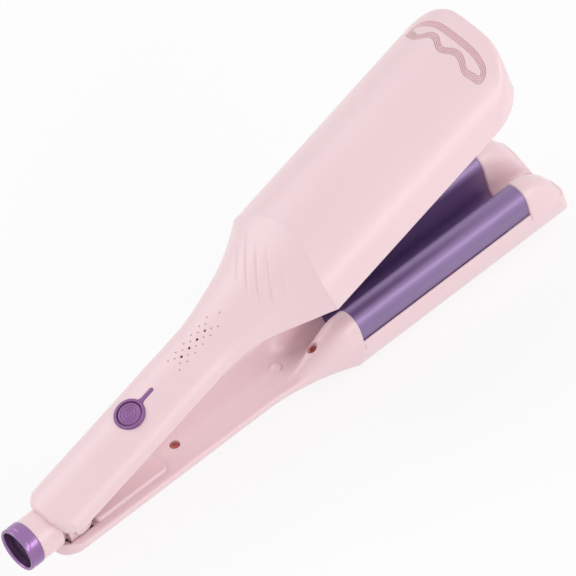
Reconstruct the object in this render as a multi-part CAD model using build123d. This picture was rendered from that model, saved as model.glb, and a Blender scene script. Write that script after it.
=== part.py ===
"""Hair waver: two plastic arms on a pin hinge, deep-wave heated plates, built as separate pieces.

Both arms are drawn closed, with the hinge pin at the origin, +X towards the tip, +Y sideways and
+Z up. The upper arm is then swung open about the pin, and everything is moved so that the origin
lies under the middle of the whole object, on the surface that it stands on.
"""
from build123d import *
from math import acos, atan2, cos, hypot, radians, sin
import os

os.makedirs("parts", exist_ok=True)

# ---------------------------------------------------------------- overall layout (mm, degrees)
OPEN_ANGLE = 18.5          # rest angle between the arms
ARM_LENGTH = 279.0         # hinge pin to the nose of either arm
WALL = 2.0                 # moulded wall of covers
PANEL = 2.2                # moulded wall of the inner frames
MOULD_GAP = 0.1            # play between two moulded parts of one arm

# ---------------------------------------------------------------- handles
HANDLE_HALF_WIDTH = 15.9
HANDLE_DEPTH = 10.4        # rim plane to the crown of either handle
RIM_OFFSET = 5.2           # rim plane to the pin
HANDLE_END_RADIUS = 12.0   # plan corners at the cord end
LOWER_HANDLE_END = 10.7    # pin to the cord end of the lower handle
UPPER_HANDLE_END = 8.8

# ---------------------------------------------------------------- upper barrel cover
CROWN_HALF_WIDTH = 34.3
CROWN_HEIGHT = 24.5        # above the pin
CROWN_TIP_RADIUS = 25.0    # plan corners of the tip
TIP_LEAN = 3.0             # the rim lies this far behind the crown at the tip
UPPER_FLARE_START = 92.0
UPPER_FLARE_SIDE = 146.0   # flare as wide as the barrel here
UPPER_FLARE_TOP = 157.0    # flare as high as the barrel here
UPPER_FLARE_POWER = 1.85
UPPER_RIM_DROP_START = 106.0
UPPER_RIM_DROP_END = 138.0

# ---------------------------------------------------------------- lower barrel bowl
BOWL_HALF_WIDTH = 24.2
BOWL_RIM = -3.0
BOWL_DEPTH = 24.5          # rim to the lowest point of the full curve
LAND_LEVEL = -25.5         # flat land that the object stands on
BOWL_TIP_RADIUS = 6.0
LOWER_FLARE_START = 108.0
LOWER_FLARE_END = 154.0
LOWER_FLARE_POWER = 1.65
LOWER_RIM_RISE_START = 118.0
LOWER_RIM_RISE_END = 150.0

# ---------------------------------------------------------------- the wave
RIDGE_SPACING = 15.0       # centre plane to a ridge
RIDGE_RADIUS = 7.2         # of the lower plate's face
RIDGE_TOP = 12.0
VALLEY_RADIUS = 6.5
VALLEY_FLOOR = -11.5
PLATE_THICKNESS = 1.8
PLATE_GAP = 1.5            # between the two plates when closed
BODY_PROUD = 0.5           # moulded shoulders and noses stand proud of their plate
LOWER_PLATE_EDGE = -0.7    # level of the lower plate's long edges
PLATE_START = 155.7
PLATE_END = 255.0
TRAY_LIP_RADIUS = 3.5
TRAY_LIP_SPACING = 12.2
TRAY_LIP_TOP = -4.6
TRAY_FLOOR = -8.0
TRAY_FLOOR_RADIUS = 14.0
RAMP_START = 119.0
RAMP_END = 152.0
RAIL_WIDTH = 3.6
RAIL_DEPTH = 2.0
POCKET_START = 124.0       # the upper frame's pockets begin here
RIDGE_ROOT = 126.0         # the upper frame's middle ridge begins here

# ---------------------------------------------------------------- nose of the lower arm
NOSE_LEAN = 4.5            # the end face leans back by this much at the ridge tops
NOSE_TOP_RADIUS = 22.0
NOSE_BOTTOM_RADIUS = 6.0

# ---------------------------------------------------------------- hinge
PIN_RADIUS = 2.0
PIN_RUNNING = 0.05         # radial running clearance on the pin
KNUCKLE_RADIUS = 4.9
KNUCKLE_INNER = 4.2        # half-gap for the spring
KNUCKLE_OUTER = 7.0
EAR_RADIUS = 6.5
EAR_THICKNESS = 3.1
JOINT_CLEARANCE = 0.3      # between pieces that move past each other
PIN_CAP_RADIUS = 3.4
PIN_CAP_THICKNESS = 1.0
SPRING_RADIUS = 3.6
SPRING_WIRE = 0.55
SPRING_PITCH = 1.3
SPRING_TURNS = 5
BASE_BOTTOM = -12.0        # underside of the hinge base
SPRING_ROOM = -5.5         # floor of the room for the spring
EAR_ROOT = 14.0            # the ear's web ends here
STOP_FACE = -3.0           # the lugs meet the stop pads here when the arms are open
STOP_LENGTH = 2.5
STOP_TOP = -7.2
STOP_LOW = -8.2
LUG_LENGTH = 3.0
SHELF_TOP = -9.2
BLOCK_START = 9.0
BLOCK_END = 50.0
BLOCK_HALF_WIDTH = 10.6
BLOCK_TOP = -0.5
BLOCK_EDGE = 1.2           # rounding of its upper edges

# ---------------------------------------------------------------- cord end
COLLAR_RADIUS = 10.3
COLLAR_START = 9.2         # pin to the inner end of the collar
COLLAR_END = 21.0
COLLAR_WALL = 2.4
SPIGOT_LENGTH = 5.0
RIB_START = 18.0           # pin to the collar's inner rib, which keeps the gland in
RIB_END = 20.5
RIB_DEPTH = 1.3
RING_SEAT = 2.5            # length of the ring's seat on the collar
RING_RADIUS = 10.7
RING_END = 28.5
RING_WALL = 1.7
GLAND_BORE = 3.3
GLAND_LENGTH = 8.0
GLAND_SNAP = 0.8           # the gland's snap edge reaches this far over the rib
GLAND_RECESS = 4.0         # the gland's face lies this far inside the ring

# ---------------------------------------------------------------- controls on the upper handle
BUTTON_X = 50.5
BEZEL_RADIUS = 7.5
BEZEL_HEIGHT = 0.6         # above the handle's crown
BEZEL_SEAT = 1.3           # spot face below the handle's crown
BEZEL_TUBE_RADIUS = 6.5
BEZEL_TUBE_DEPTH = 3.0     # below the handle's crown
BUTTON_RADIUS = 5.6
BUTTON_TRAVEL = 0.5
BUTTON_THICKNESS = 1.7
BUTTON_DISH = 0.6
TAIL_END = 66.0
TAIL_WIDTH = 1.75
TAIL_DEPTH = 0.8           # groove below the handle's crown
TAIL_PROUD = 0.3
LED_START = 84.6
LED_PITCH = 5.13
LED_COUNT = 4
LED_RADIUS = 0.85
BOARD_START = 38.0
BOARD_END = 108.0
BOARD_WIDTH = 18.0
BOARD_THICKNESS = 1.2
BOARD_STANDOFF = 1.6
BOARD_SCREW_INSET = 4.0
SWITCH_SIZE = 6.0
SWITCH_HEIGHT = 2.0
PLUNGER_HEIGHT = 0.6
LAMP_HEIGHT = 0.7
CHIP_X = 65.5
CHIP_SIZE = 7.0
CHIP_HEIGHT = 1.0
RELAY_X = 75.5
RELAY_LENGTH = 7.0
RELAY_WIDTH = 9.0
RELAY_HEIGHT = 2.0
BOARD_SCREW_RADIUS = 1.0
BOARD_SCREW_HEAD = 1.8     # radius of its head

# ---------------------------------------------------------------- heaters
HEATER_WIDTH = 5.6
HEATER_THICKNESS = 3.0
HEATER_LENGTH = 78.0
SHIELD_REACH = 7.0         # height of the part of a cover that its shield lines
LOWER_SEAT_DEPTH = 1.0     # flat heater seat below the back of the lower plate's valley
UPPER_SEAT_HEIGHT = 2.0    # flat heater seat above the back of the upper plate's middle ridge
CLAMP_SHEET = 0.8
SHIELD_SHEET = 0.5
SENSOR_RADIUS = 1.3
SENSOR_LENGTH = 7.0
SENSOR_START = 1.8         # plate's root end to the sensor

# ---------------------------------------------------------------- screws
SCREW_HEAD_RADIUS = 2.1
SCREW_HEAD_HEIGHT = 1.5
SCREW_RADIUS = 1.2
SCREW_LENGTH = 4.8
SCREW_HOLE_RADIUS = 1.4
HEAD_PLAY = 0.2
SEAT_THICKNESS = 1.5       # frame left under a screw head
BOSS_RADIUS = 3.2
HANDLE_SCREW_X = 63.0
RAMP_SCREW_X = 136.0
RAMP_SCREW_Y = 11.5
RAMP_SCREW_SEAT = 1.2
UPPER_REAR_SCREW_X = 24.0
UPPER_FLARE_SCREW_X = 116.0
UPPER_FLARE_SCREW_Y = 13.0
DOME_X = 123.0
DOME_RADIUS = 2.6

FAR = 60.0                 # larger than any half-width or height

# ---------------------------------------------------------------- values worked out
PLATE_LENGTH = PLATE_END - PLATE_START
UPPER_FACE = PLATE_GAP - BODY_PROUD        # offset of the upper arm's moulded wave
BEARING_EDGE = KNUCKLE_OUTER + JOINT_CLEARANCE + EAR_THICKNESS
PIN_END = BEARING_EDGE + JOINT_CLEARANCE + PIN_CAP_THICKNESS
CROWN_LEVEL = RIM_OFFSET + HANDLE_DEPTH    # top of the upper handle
BOARD_LEVEL = RIM_OFFSET + PANEL + BOARD_STANDOFF
LOWER_HEATER_LEVEL = VALLEY_FLOOR - PLATE_THICKNESS - LOWER_SEAT_DEPTH
UPPER_HEATER_LEVEL = VALLEY_FLOOR + PLATE_GAP + PLATE_THICKNESS + UPPER_SEAT_HEIGHT


# ================================================================= shared forms
def ease(value, start, end):
    """Smooth step from 0 at start to 1 at end."""
    share = min(1.0, max(0.0, (value - start) / (end - start)))
    return share * share * (3 - 2 * share)


def swell(x, start, end, power):
    """Growth of a flare: 0 up to start, 1 at end, steeper and steeper."""
    return (max(0.0, x - start) / (end - start)) ** power


def section_plane(x, z=0.0):
    """Plane across the arm at x, with its own axes along Y and Z."""
    return Plane(origin=(x, 0, z), x_dir=(0, 1, 0), z_dir=(1, 0, 0))


def box_between(low, high):
    """Box from its lowest to its highest corner."""
    size = [high[axis] - low[axis] for axis in range(3)]
    middle = [(high[axis] + low[axis]) / 2 for axis in range(3)]
    return Pos(*middle) * Box(*size)


def rod_x(radius, start, end, y=0, z=0):
    """Cylinder along X."""
    return Pos((start + end) / 2, y, z) * Rot(0, 90, 0) * Cylinder(radius, end - start)


def rod_y(radius, start, end, x=0, z=0):
    """Cylinder along Y."""
    return Pos(x, (start + end) / 2, z) * Rot(90, 0, 0) * Cylinder(radius, end - start)


def rod_z(radius, start, end, x=0, y=0):
    """Cylinder along Z."""
    return Pos(x, y, (start + end) / 2) * Cylinder(radius, end - start)


def mirrored(shape):
    """The shape and its copy on the other side of the arm."""
    return shape + mirror(shape, about=Plane.XZ)


def side_prism(points, half_width=FAR):
    """Polygon in X and Z, carried across the arm."""
    face = Plane.XZ * make_face(Polyline(*points, close=True))
    return extrude(face, half_width, both=True)


def upper_rim(x):
    """Level of the upper cover's rim."""
    return RIM_OFFSET * (1 - ease(x, UPPER_RIM_DROP_START, UPPER_RIM_DROP_END))


def lower_rim(x):
    """Level of the lower cover's rim."""
    return -RIM_OFFSET + (BOWL_RIM + RIM_OFFSET) * ease(x, LOWER_RIM_RISE_START, LOWER_RIM_RISE_END)


def rim_prism(level, start, end, side, shift=0.0):
    """Everything on one side (+1 above, -1 below) of a rim that changes level between start and end."""
    count = 8
    stations = [start + (end - start) * step / count for step in range(count + 1)]
    curve = Spline([(x, level(x) + shift) for x in stations], tangents=[(1, 0), (1, 0)])
    first = (-FAR, level(start) + shift)
    last = (ARM_LENGTH + FAR, level(end) + shift)
    edge = Line(first, curve @ 0) + curve + Line(curve @ 1, last)
    corners = [last, (last[0], side * FAR), (first[0], side * FAR), first]
    face = Plane.XZ * make_face(edge + Polyline(*corners))
    return extrude(face, FAR, both=True)


def plan_prism(handle_end, half_width, tip_radius, inset=0.0):
    """Plan outline of an arm: its rounded ends; the sides between them are left wide."""
    start = inset - handle_end
    end = ARM_LENGTH - inset
    end_radius = HANDLE_END_RADIUS - inset
    corner_radius = tip_radius - inset
    first = (start + end_radius, HANDLE_HALF_WIDTH - inset)
    last = (end - corner_radius, half_width - inset)
    half = Line((start, 0), (start, first[1] - end_radius))
    half += TangentArc((start, first[1] - end_radius), first, tangent=(0, 1))
    half += Polyline(first, (first[0] + FAR / 2, 2 * FAR), (last[0] - FAR / 2, 2 * FAR), last)
    half += TangentArc(last, (end, last[1] - corner_radius), tangent=(1, 0))
    half += Line((end, last[1] - corner_radius), (end, 0))
    return extrude(make_face(half + mirror(half, about=Plane.XZ)), FAR, both=True)


def arch_face(half_width, half_height, centre, side):
    """Half ellipse that bulges up (side +1) or down (-1), with its legs carried far the other way."""
    start = 0 if side > 0 else 180
    arc = EllipticalCenterArc((0, centre), half_width, half_height, start_angle=start, arc_size=180)
    first, last = arc @ 0, arc @ 1
    legs = Polyline(last, (last.X, -side * FAR), (first.X, -side * FAR), first)
    return make_face(arc + legs)


def flared_form(stations, half_width, half_height, centre, barrel, side, inset):
    """Straight handle that opens through the stations, cut to the barrel's section."""
    faces = []
    for x in stations:
        arch = arch_face(half_width(x) - inset, half_height(x) - inset, centre(x), side)
        faces.append(section_plane(x) * arch)
    flare = extrude(faces[0], stations[0] + FAR, dir=(-1, 0, 0)) + loft(faces)
    whole_barrel = extrude(section_plane(-FAR) * barrel, ARM_LENGTH + 2 * FAR)
    return (flare & whole_barrel) + extrude(section_plane(stations[-1]) * barrel, ARM_LENGTH)


# ================================================================= outer forms of the two arms
def upper_half_width(x):
    grown = swell(x, UPPER_FLARE_START, UPPER_FLARE_SIDE, UPPER_FLARE_POWER)
    return HANDLE_HALF_WIDTH + (CROWN_HALF_WIDTH - HANDLE_HALF_WIDTH) * grown


def upper_half_height(x):
    grown = swell(x, UPPER_FLARE_START, UPPER_FLARE_TOP, UPPER_FLARE_POWER)
    top = RIM_OFFSET + HANDLE_DEPTH + (CROWN_HEIGHT - RIM_OFFSET - HANDLE_DEPTH) * grown
    return top - upper_rim(x)


def lower_half_width(x):
    grown = swell(x, LOWER_FLARE_START, LOWER_FLARE_END, LOWER_FLARE_POWER)
    return HANDLE_HALF_WIDTH + (BOWL_HALF_WIDTH - HANDLE_HALF_WIDTH) * grown


def lower_half_height(x):
    grown = swell(x, LOWER_FLARE_START, LOWER_FLARE_END, LOWER_FLARE_POWER)
    depth = RIM_OFFSET + HANDLE_DEPTH + (BOWL_DEPTH - BOWL_RIM - RIM_OFFSET - HANDLE_DEPTH) * grown
    return depth + lower_rim(x)


def upper_form(inset=0.0):
    """Upper arm's outer form: the flare cut to a crowned barrel, which leaves the arched crease."""
    stations = [UPPER_FLARE_START + step for step in (0, 8, 16, 26, 38, 50, 62, 76)]
    crown = arch_face(CROWN_HALF_WIDTH - inset, CROWN_HEIGHT - inset, 0, 1)
    form = flared_form(stations, upper_half_width, upper_half_height, upper_rim, crown, 1, inset)
    form &= plan_prism(UPPER_HANDLE_END, CROWN_HALF_WIDTH, CROWN_TIP_RADIUS, inset)
    return form & tip_prism(inset)


def tip_prism(inset):
    """Everything behind the leaning end face of the upper arm."""
    slope = TIP_LEAN / CROWN_HEIGHT
    foot = ARM_LENGTH - TIP_LEAN - inset
    return side_prism([(-FAR, -FAR), (foot - FAR * slope, -FAR), (foot + FAR * slope, FAR), (-FAR, FAR)])


def lower_form(inset=0.0):
    """Lower arm's outer form: the flare cut to a deep bowl."""
    stations = [LOWER_FLARE_START + step for step in (0, 7, 14, 22, 30, 38, 46, 54)]
    bowl = arch_face(BOWL_HALF_WIDTH - inset, BOWL_DEPTH - inset, BOWL_RIM, -1)
    form = flared_form(stations, lower_half_width, lower_half_height, lower_rim, bowl, -1, inset)
    form &= plan_prism(LOWER_HANDLE_END, BOWL_HALF_WIDTH, BOWL_TIP_RADIUS, inset)
    return form & nose_prism(inset)


def nose_prism(inset=0.0):
    """Side outline of the lower arm: flat land, leaning nose and rounded corners."""
    top = RIDGE_TOP + BODY_PROUD
    corners = [(-FAR, top - inset), (ARM_LENGTH - NOSE_LEAN - inset, top - inset),
               (ARM_LENGTH - inset, LAND_LEVEL + inset), (-FAR, LAND_LEVEL + inset)]
    face = make_face(Polyline(*corners, close=True))
    face = fillet(face.vertices().sort_by(Axis.X)[-1], NOSE_BOTTOM_RADIUS)
    shoulder = face.vertices().sort_by(Axis.Y)[-2:].sort_by(Axis.X)[-1]
    face = fillet(shoulder, NOSE_TOP_RADIUS - inset)
    return extrude(Plane.XZ * face, FAR, both=True)


# ================================================================= the wave, shared by both arms
def wave_numbers(share):
    """Wave outline between the handle's tray (share 0) and the full wave (share 1)."""
    full_radius = RIDGE_RADIUS + BODY_PROUD
    spacing = TRAY_LIP_SPACING + (RIDGE_SPACING - TRAY_LIP_SPACING) * share
    ridge = TRAY_LIP_RADIUS + (full_radius - TRAY_LIP_RADIUS) * share
    top = TRAY_LIP_TOP + (RIDGE_TOP + BODY_PROUD - TRAY_LIP_TOP) * share
    floor = TRAY_FLOOR + (VALLEY_FLOOR + BODY_PROUD - TRAY_FLOOR) * share
    end_radius = VALLEY_RADIUS - BODY_PROUD
    valley = end_radius + (TRAY_FLOOR_RADIUS - end_radius) * (1 - share) ** 4
    return spacing, top - ridge, ridge, floor + valley, valley


def wave_face(x, numbers, foot, offset=0.0, base=-FAR):
    """Face below the wave line: feet, two ridges and the valley, joined by common tangents."""
    spacing, ridge_z, ridge, valley_z, valley = numbers
    ridge += offset
    valley -= offset
    foot_y, foot_z = foot[0] + offset, foot[1] + offset
    reach = hypot(foot_y - spacing, foot_z - ridge_z)
    flank = atan2(foot_z - ridge_z, foot_y - spacing) + acos(min(1.0, ridge / reach))
    span = hypot(spacing, valley_z - ridge_z)
    inner = atan2(valley_z - ridge_z, -spacing) % radians(360) - acos((ridge + valley) / span)

    def on_ridge(angle):
        return spacing + ridge * cos(angle), ridge_z + ridge * sin(angle)

    def other_side(point):
        return -point[0], point[1]

    flank_end, crest, dip = on_ridge(flank), on_ridge((flank + inner) / 2), on_ridge(inner)
    valley_side = (-valley * cos(inner), valley_z - valley * sin(inner))
    valley_low = (0, valley_z - valley)
    half = [(foot_y, base), (foot_y, foot_z), flank_end]
    line = Polyline(*half) + ThreePointArc(flank_end, crest, dip) + Line(dip, valley_side)
    line += ThreePointArc(valley_side, valley_low, other_side(valley_side))
    line += Line(other_side(valley_side), other_side(dip))
    line += ThreePointArc(other_side(dip), other_side(crest), other_side(flank_end))
    line += Polyline(*[other_side(point) for point in reversed(half)], half[0])
    return section_plane(x) * make_face(line)


def arm_foot(x):
    return lower_half_width(min(x, LOWER_FLARE_END)), lower_rim(x)


def body_wave(offset=0.0):
    """Everything below the moulded inner face: tray, ramps and barrel."""
    count = 5
    stations = [RAMP_START + (RAMP_END - RAMP_START) * step / count for step in range(count + 1)]
    faces = []
    for x in stations:
        numbers = wave_numbers(ease(x, RAMP_START, RAMP_END))
        faces.append(wave_face(x, numbers, arm_foot(x), offset))
    handle_foot = (HANDLE_HALF_WIDTH, -RIM_OFFSET)
    handle = extrude(wave_face(LOWER_FLARE_START, wave_numbers(0), handle_foot, offset),
                     LOWER_FLARE_START + FAR, dir=(-1, 0, 0))
    neck = loft([wave_face(LOWER_FLARE_START, wave_numbers(0), handle_foot, offset), faces[0]])
    full = wave_face(RAMP_END, wave_numbers(1), arm_foot(ARM_LENGTH), offset)
    shoulder = loft(faces[:-1] + [full])
    return handle + neck + shoulder + extrude(full, ARM_LENGTH + FAR - RAMP_END)


def plate_wave(offset, start=PLATE_START, end=PLATE_END, base=-FAR):
    """Everything below a plate face that lies the given offset above the lower plate's face."""
    numbers = (RIDGE_SPACING, RIDGE_TOP - RIDGE_RADIUS, RIDGE_RADIUS,
               VALLEY_FLOOR + VALLEY_RADIUS, VALLEY_RADIUS)
    foot = (RIDGE_SPACING + RIDGE_RADIUS, BOWL_RIM)
    return extrude(wave_face(start, numbers, foot, offset, base), end - start)


# ================================================================= lower arm
def screw_places():
    """Place and seat level of each screw of the lower arm, one in the handle and two in the ramps."""
    handle_seat = TRAY_FLOOR - SCREW_HEAD_HEIGHT
    return [(HANDLE_SCREW_X, 0, handle_seat), (RAMP_SCREW_X, RAMP_SCREW_Y, RAMP_SCREW_SEAT),
            (RAMP_SCREW_X, -RAMP_SCREW_Y, RAMP_SCREW_SEAT)]


def make_lower_cover(outer, cavity, room):
    """Bowl-shaped outer shell with its screw bosses and the saddle for the collar."""
    below = rim_prism(lower_rim, LOWER_RIM_RISE_START, LOWER_RIM_RISE_END, -1)
    shell = (outer - cavity) & below
    for x, y, seat in screw_places():
        shell += rod_z(BOSS_RADIUS, -FAR, seat - SEAT_THICKNESS, x, y) & outer & room
    for x, y, seat in screw_places():
        shell -= rod_z(SCREW_RADIUS, seat - SCREW_LENGTH - MOULD_GAP, FAR, x, y)
    half = KNUCKLE_OUTER + MOULD_GAP
    shell -= box_between((-FAR, -half, BASE_BOTTOM - MOULD_GAP), (0, half, 0))
    shell -= mirrored(ear_pocket(STOP_LOW - JOINT_CLEARANCE))
    shell -= valley_mouth() - room
    return shell - rod_x(COLLAR_RADIUS, -FAR, -COLLAR_START)


def make_lower_frame(outer, cavity, face, under_face):
    """Inner moulding: tray, ramps, rails beside the plate, closed nose and hinge block."""
    above = rim_prism(lower_rim, LOWER_RIM_RISE_START, LOWER_RIM_RISE_END, 1)
    below = rim_prism(lower_rim, LOWER_RIM_RISE_START, LOWER_RIM_RISE_END, -1)
    envelope = ((face & above) + (face & cavity & below)) & lower_outline()
    envelope += face & outer & valley_mouth()
    frame = envelope - (under_face - (nose_zone() - lower_outline(PANEL)))
    frame -= box_between((PLATE_START, -FAR, -FAR), (PLATE_END, FAR, FAR))
    frame += lower_rails()
    frame += lower_end_walls() & envelope
    frame -= mirrored(ear_pocket(-FAR))
    frame += lower_hinge_block(envelope)
    for x, y, seat in screw_places():
        frame += rod_z(BOSS_RADIUS, seat - SEAT_THICKNESS, FAR, x, y) & envelope
    for x, y, seat in screw_places():
        frame -= rod_z(SCREW_HEAD_RADIUS + HEAD_PLAY, seat, FAR, x, y)
        frame -= rod_z(SCREW_HOLE_RADIUS, -FAR, seat + MOULD_GAP, x, y)
    frame -= rod_x(COLLAR_RADIUS, -FAR, -COLLAR_START)
    frame += collar_spigot()
    frame -= rod_y(PIN_RADIUS, -KNUCKLE_OUTER - WALL, KNUCKLE_OUTER + WALL)
    frame -= rod_x(GLAND_BORE, -FAR, -KNUCKLE_RADIUS - MOULD_GAP)
    dome = Pos(DOME_X, 0, TRAY_FLOOR - DOME_RADIUS / 3) * Sphere(DOME_RADIUS)
    return frame + (dome - under_face)


def lower_rails():
    """Rails beside the plate: each carries a long edge of it and caps the cover's rim."""
    inside = BOWL_HALF_WIDTH - WALL - MOULD_GAP
    plate_side = RIDGE_SPACING + RIDGE_RADIUS
    points = [(plate_side - RAIL_WIDTH, BOWL_RIM - RAIL_DEPTH), (inside, BOWL_RIM - RAIL_DEPTH),
              (inside, BOWL_RIM), (BOWL_HALF_WIDTH, BOWL_RIM),
              (plate_side + BODY_PROUD, LOWER_PLATE_EDGE), (plate_side - RAIL_WIDTH, LOWER_PLATE_EDGE)]
    face = section_plane(PLATE_START - WALL) * make_face(Polyline(*points, close=True))
    return mirrored(extrude(face, PLATE_LENGTH + 2 * WALL))


def lower_end_walls():
    """Cross walls that close the shoulder and the nose behind the plate's ends."""
    low = VALLEY_FLOOR - PANEL - WALL
    walls = box_between((PLATE_START - WALL, -FAR, low), (PLATE_START, FAR, FAR))
    return walls + box_between((PLATE_END, -FAR, low), (PLATE_END + WALL, FAR, FAR))


def lower_outline(inset=0.0):
    """Plan and side outline of the lower arm together."""
    plan = plan_prism(LOWER_HANDLE_END, BOWL_HALF_WIDTH, BOWL_TIP_RADIUS, inset)
    return plan & nose_prism(inset)


def nose_zone():
    """The nose above the cover's rim."""
    return box_between((PLATE_END + WALL, -FAR, BOWL_RIM), (2 * ARM_LENGTH, FAR, FAR))


def valley_mouth():
    """Where the valley runs out through the nose, below the cover's rim."""
    return box_between((ARM_LENGTH - NOSE_TOP_RADIUS, -RIDGE_SPACING, -FAR),
                       (2 * ARM_LENGTH, RIDGE_SPACING, BOWL_RIM))


def ear_pocket(bottom):
    """Room beside the knuckle in which one ear of the upper frame turns."""
    return box_between((-COLLAR_START, KNUCKLE_OUTER, bottom),
                       (EAR_RADIUS + 4 * JOINT_CLEARANCE, BEARING_EDGE + JOINT_CLEARANCE, FAR))


def lower_hinge_block(envelope):
    """Platform, knuckles for the pin, and shelves for the stop pads."""
    floor = TRAY_FLOOR - PANEL
    platform = Pos((BLOCK_START + BLOCK_END) / 2, 0) * RectangleRounded(
        BLOCK_END - BLOCK_START, 2 * BLOCK_HALF_WIDTH, WALL)
    block = Pos(0, 0, floor) * extrude(platform, BLOCK_TOP - floor)
    block = fillet(block.edges().group_by(Axis.Z)[-1], BLOCK_EDGE)
    base = box_between((-COLLAR_START, -KNUCKLE_OUTER, BASE_BOTTOM),
                       (BLOCK_START + WALL, KNUCKLE_OUTER, 0))
    base -= box_between((-KNUCKLE_RADIUS, -KNUCKLE_INNER, SPRING_ROOM),
                        (BLOCK_START, KNUCKLE_INNER, FAR))
    base -= box_between((KNUCKLE_RADIUS, -FAR, SPRING_ROOM), (BLOCK_START, FAR, FAR))
    knuckle = rod_y(KNUCKLE_RADIUS, KNUCKLE_INNER, KNUCKLE_OUTER)
    shelf = box_between((STOP_FACE - PANEL, KNUCKLE_OUTER - WALL, SHELF_TOP - WALL),
                        (STOP_FACE + STOP_LENGTH + WALL, BEARING_EDGE, SHELF_TOP))
    return block + base + mirrored(knuckle) + mirrored(shelf & envelope)


def collar_spigot():
    """Round spigot that carries the collar, with its neck to the hinge base."""
    radius = COLLAR_RADIUS - COLLAR_WALL
    neck = rod_x(radius, -COLLAR_START - WALL, -COLLAR_START + WALL)
    neck &= box_between((-FAR, -KNUCKLE_OUTER, -FAR), (0, KNUCKLE_OUTER, 0))
    return rod_x(radius, -COLLAR_START - SPIGOT_LENGTH, -COLLAR_START) + neck


def make_collar():
    """Fixed collar round the cord inlet, with a step that carries the ring."""
    inner = COLLAR_RADIUS - COLLAR_WALL
    rib = inner - RIB_DEPTH
    seat = RING_RADIUS - RING_WALL
    step = COLLAR_END + RING_SEAT
    outline = Polyline((-COLLAR_START, inner), (-COLLAR_START, COLLAR_RADIUS),
                       (-COLLAR_END, COLLAR_RADIUS), (-COLLAR_END, seat), (-step, seat),
                       (-step, inner), (-RIB_END, inner), (-RIB_END, rib), (-RIB_START, rib),
                       (-RIB_START, inner), close=True)
    return revolve(Plane.XZ * make_face(outline), Axis.X)


def make_ring():
    """Metal ring with a rounded lip and a bevelled mouth."""
    inner = RING_RADIUS - RING_WALL
    outline = Polyline((-COLLAR_END, inner), (-COLLAR_END, RING_RADIUS), (-RING_END, RING_RADIUS),
                       (-RING_END, inner), close=True)
    face = make_face(outline)
    lip = face.vertices().group_by(Axis.X)[0]
    face = fillet(lip.sort_by(Axis.Y)[-1], RING_WALL / 2)
    mouth = face.vertices().group_by(Axis.Y)[0].sort_by(Axis.X)[0]
    return revolve(Plane.XZ * chamfer(mouth, RING_WALL / 3), Axis.X)


def make_gland():
    """Swivel gland in the mouth of the ring, snapped over the collar's rib; a cord fits its bore."""
    start = -RING_END + GLAND_RECESS
    end = start + GLAND_LENGTH
    sleeve = COLLAR_RADIUS - COLLAR_WALL - JOINT_CLEARANCE
    neck = sleeve - RIB_DEPTH
    flange = RING_RADIUS - RING_WALL - JOINT_CLEARANCE
    flange_end = -COLLAR_END - RING_SEAT - JOINT_CLEARANCE
    neck_start = -RIB_END - JOINT_CLEARANCE
    neck_end = -RIB_START + JOINT_CLEARANCE
    outline = Polyline((start, GLAND_BORE), (start, flange), (flange_end, flange), (flange_end, sleeve),
                       (neck_start, sleeve), (neck_start, neck), (neck_end, neck),
                       (neck_end, neck + GLAND_SNAP + JOINT_CLEARANCE),
                       (end, neck + GLAND_SNAP), (end, GLAND_BORE), close=True)
    return revolve(Plane.XZ * make_face(outline), Axis.X)


def make_spring():
    """Torsion spring round the pin, with one leg on the platform and one under the upper frame."""
    height = SPRING_PITCH * SPRING_TURNS
    coil_path = Helix(SPRING_PITCH, height, SPRING_RADIUS)
    wire = Plane(coil_path @ 0, z_dir=coil_path % 0) * RegularPolygon(SPRING_WIRE, 8)
    coil = Pos(0, height / 2, 0) * Rot(90, 0, 0) * Rot(0, 0, -90) * sweep(wire, path=coil_path)
    reach = BLOCK_START - MOULD_GAP
    lower_leg = rod_x(SPRING_WIRE, 0, reach, y=height / 2, z=-SPRING_RADIUS)
    upper_leg = rod_x(SPRING_WIRE, 0, reach, y=-height / 2, z=SPRING_RADIUS)
    return coil + lower_leg + Rot(0, -OPEN_ANGLE, 0) * upper_leg


def make_stop_pads():
    """Two rubber pads that the ears' lugs meet when the arms are fully open."""
    pad = box_between((STOP_FACE, KNUCKLE_OUTER + JOINT_CLEARANCE, SHELF_TOP),
                      (STOP_FACE + STOP_LENGTH, BEARING_EDGE, STOP_TOP))
    return mirrored(pad)


def make_pin_caps():
    cap = rod_y(PIN_CAP_RADIUS, BEARING_EDGE + JOINT_CLEARANCE, PIN_END)
    return mirrored(cap - rod_y(PIN_RADIUS, 0, PIN_END - PIN_CAP_THICKNESS / 2))


def make_plate(face_offset, direction, edge_level):
    """Wave plate of one arm: a band of even thickness between two offsets of the wave."""
    back_offset = face_offset + direction * PLATE_THICKNESS
    band = plate_wave(max(face_offset, back_offset)) - plate_wave(min(face_offset, back_offset))
    return band - mirrored(box_between((PLATE_START, RIDGE_SPACING, -FAR), (PLATE_END, FAR, edge_level)))


def heater_seat(low, high):
    """Flat seat for the heater on the back of a plate."""
    return box_between((PLATE_START + WALL / 2, -HEATER_WIDTH / 2, low),
                       (PLATE_END - WALL / 2, HEATER_WIDTH / 2, high))


def make_lower_plate():
    back = VALLEY_FLOOR - PLATE_THICKNESS
    return make_plate(0.0, -1, LOWER_PLATE_EDGE) + (
        heater_seat(LOWER_HEATER_LEVEL, back + 1) & plate_wave(-PLATE_THICKNESS / 2))


def heater_bar(low):
    middle = (PLATE_START + PLATE_END) / 2
    return box_between((middle - HEATER_LENGTH / 2, -HEATER_WIDTH / 2, low),
                       (middle + HEATER_LENGTH / 2, HEATER_WIDTH / 2, low + HEATER_THICKNESS))


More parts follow.
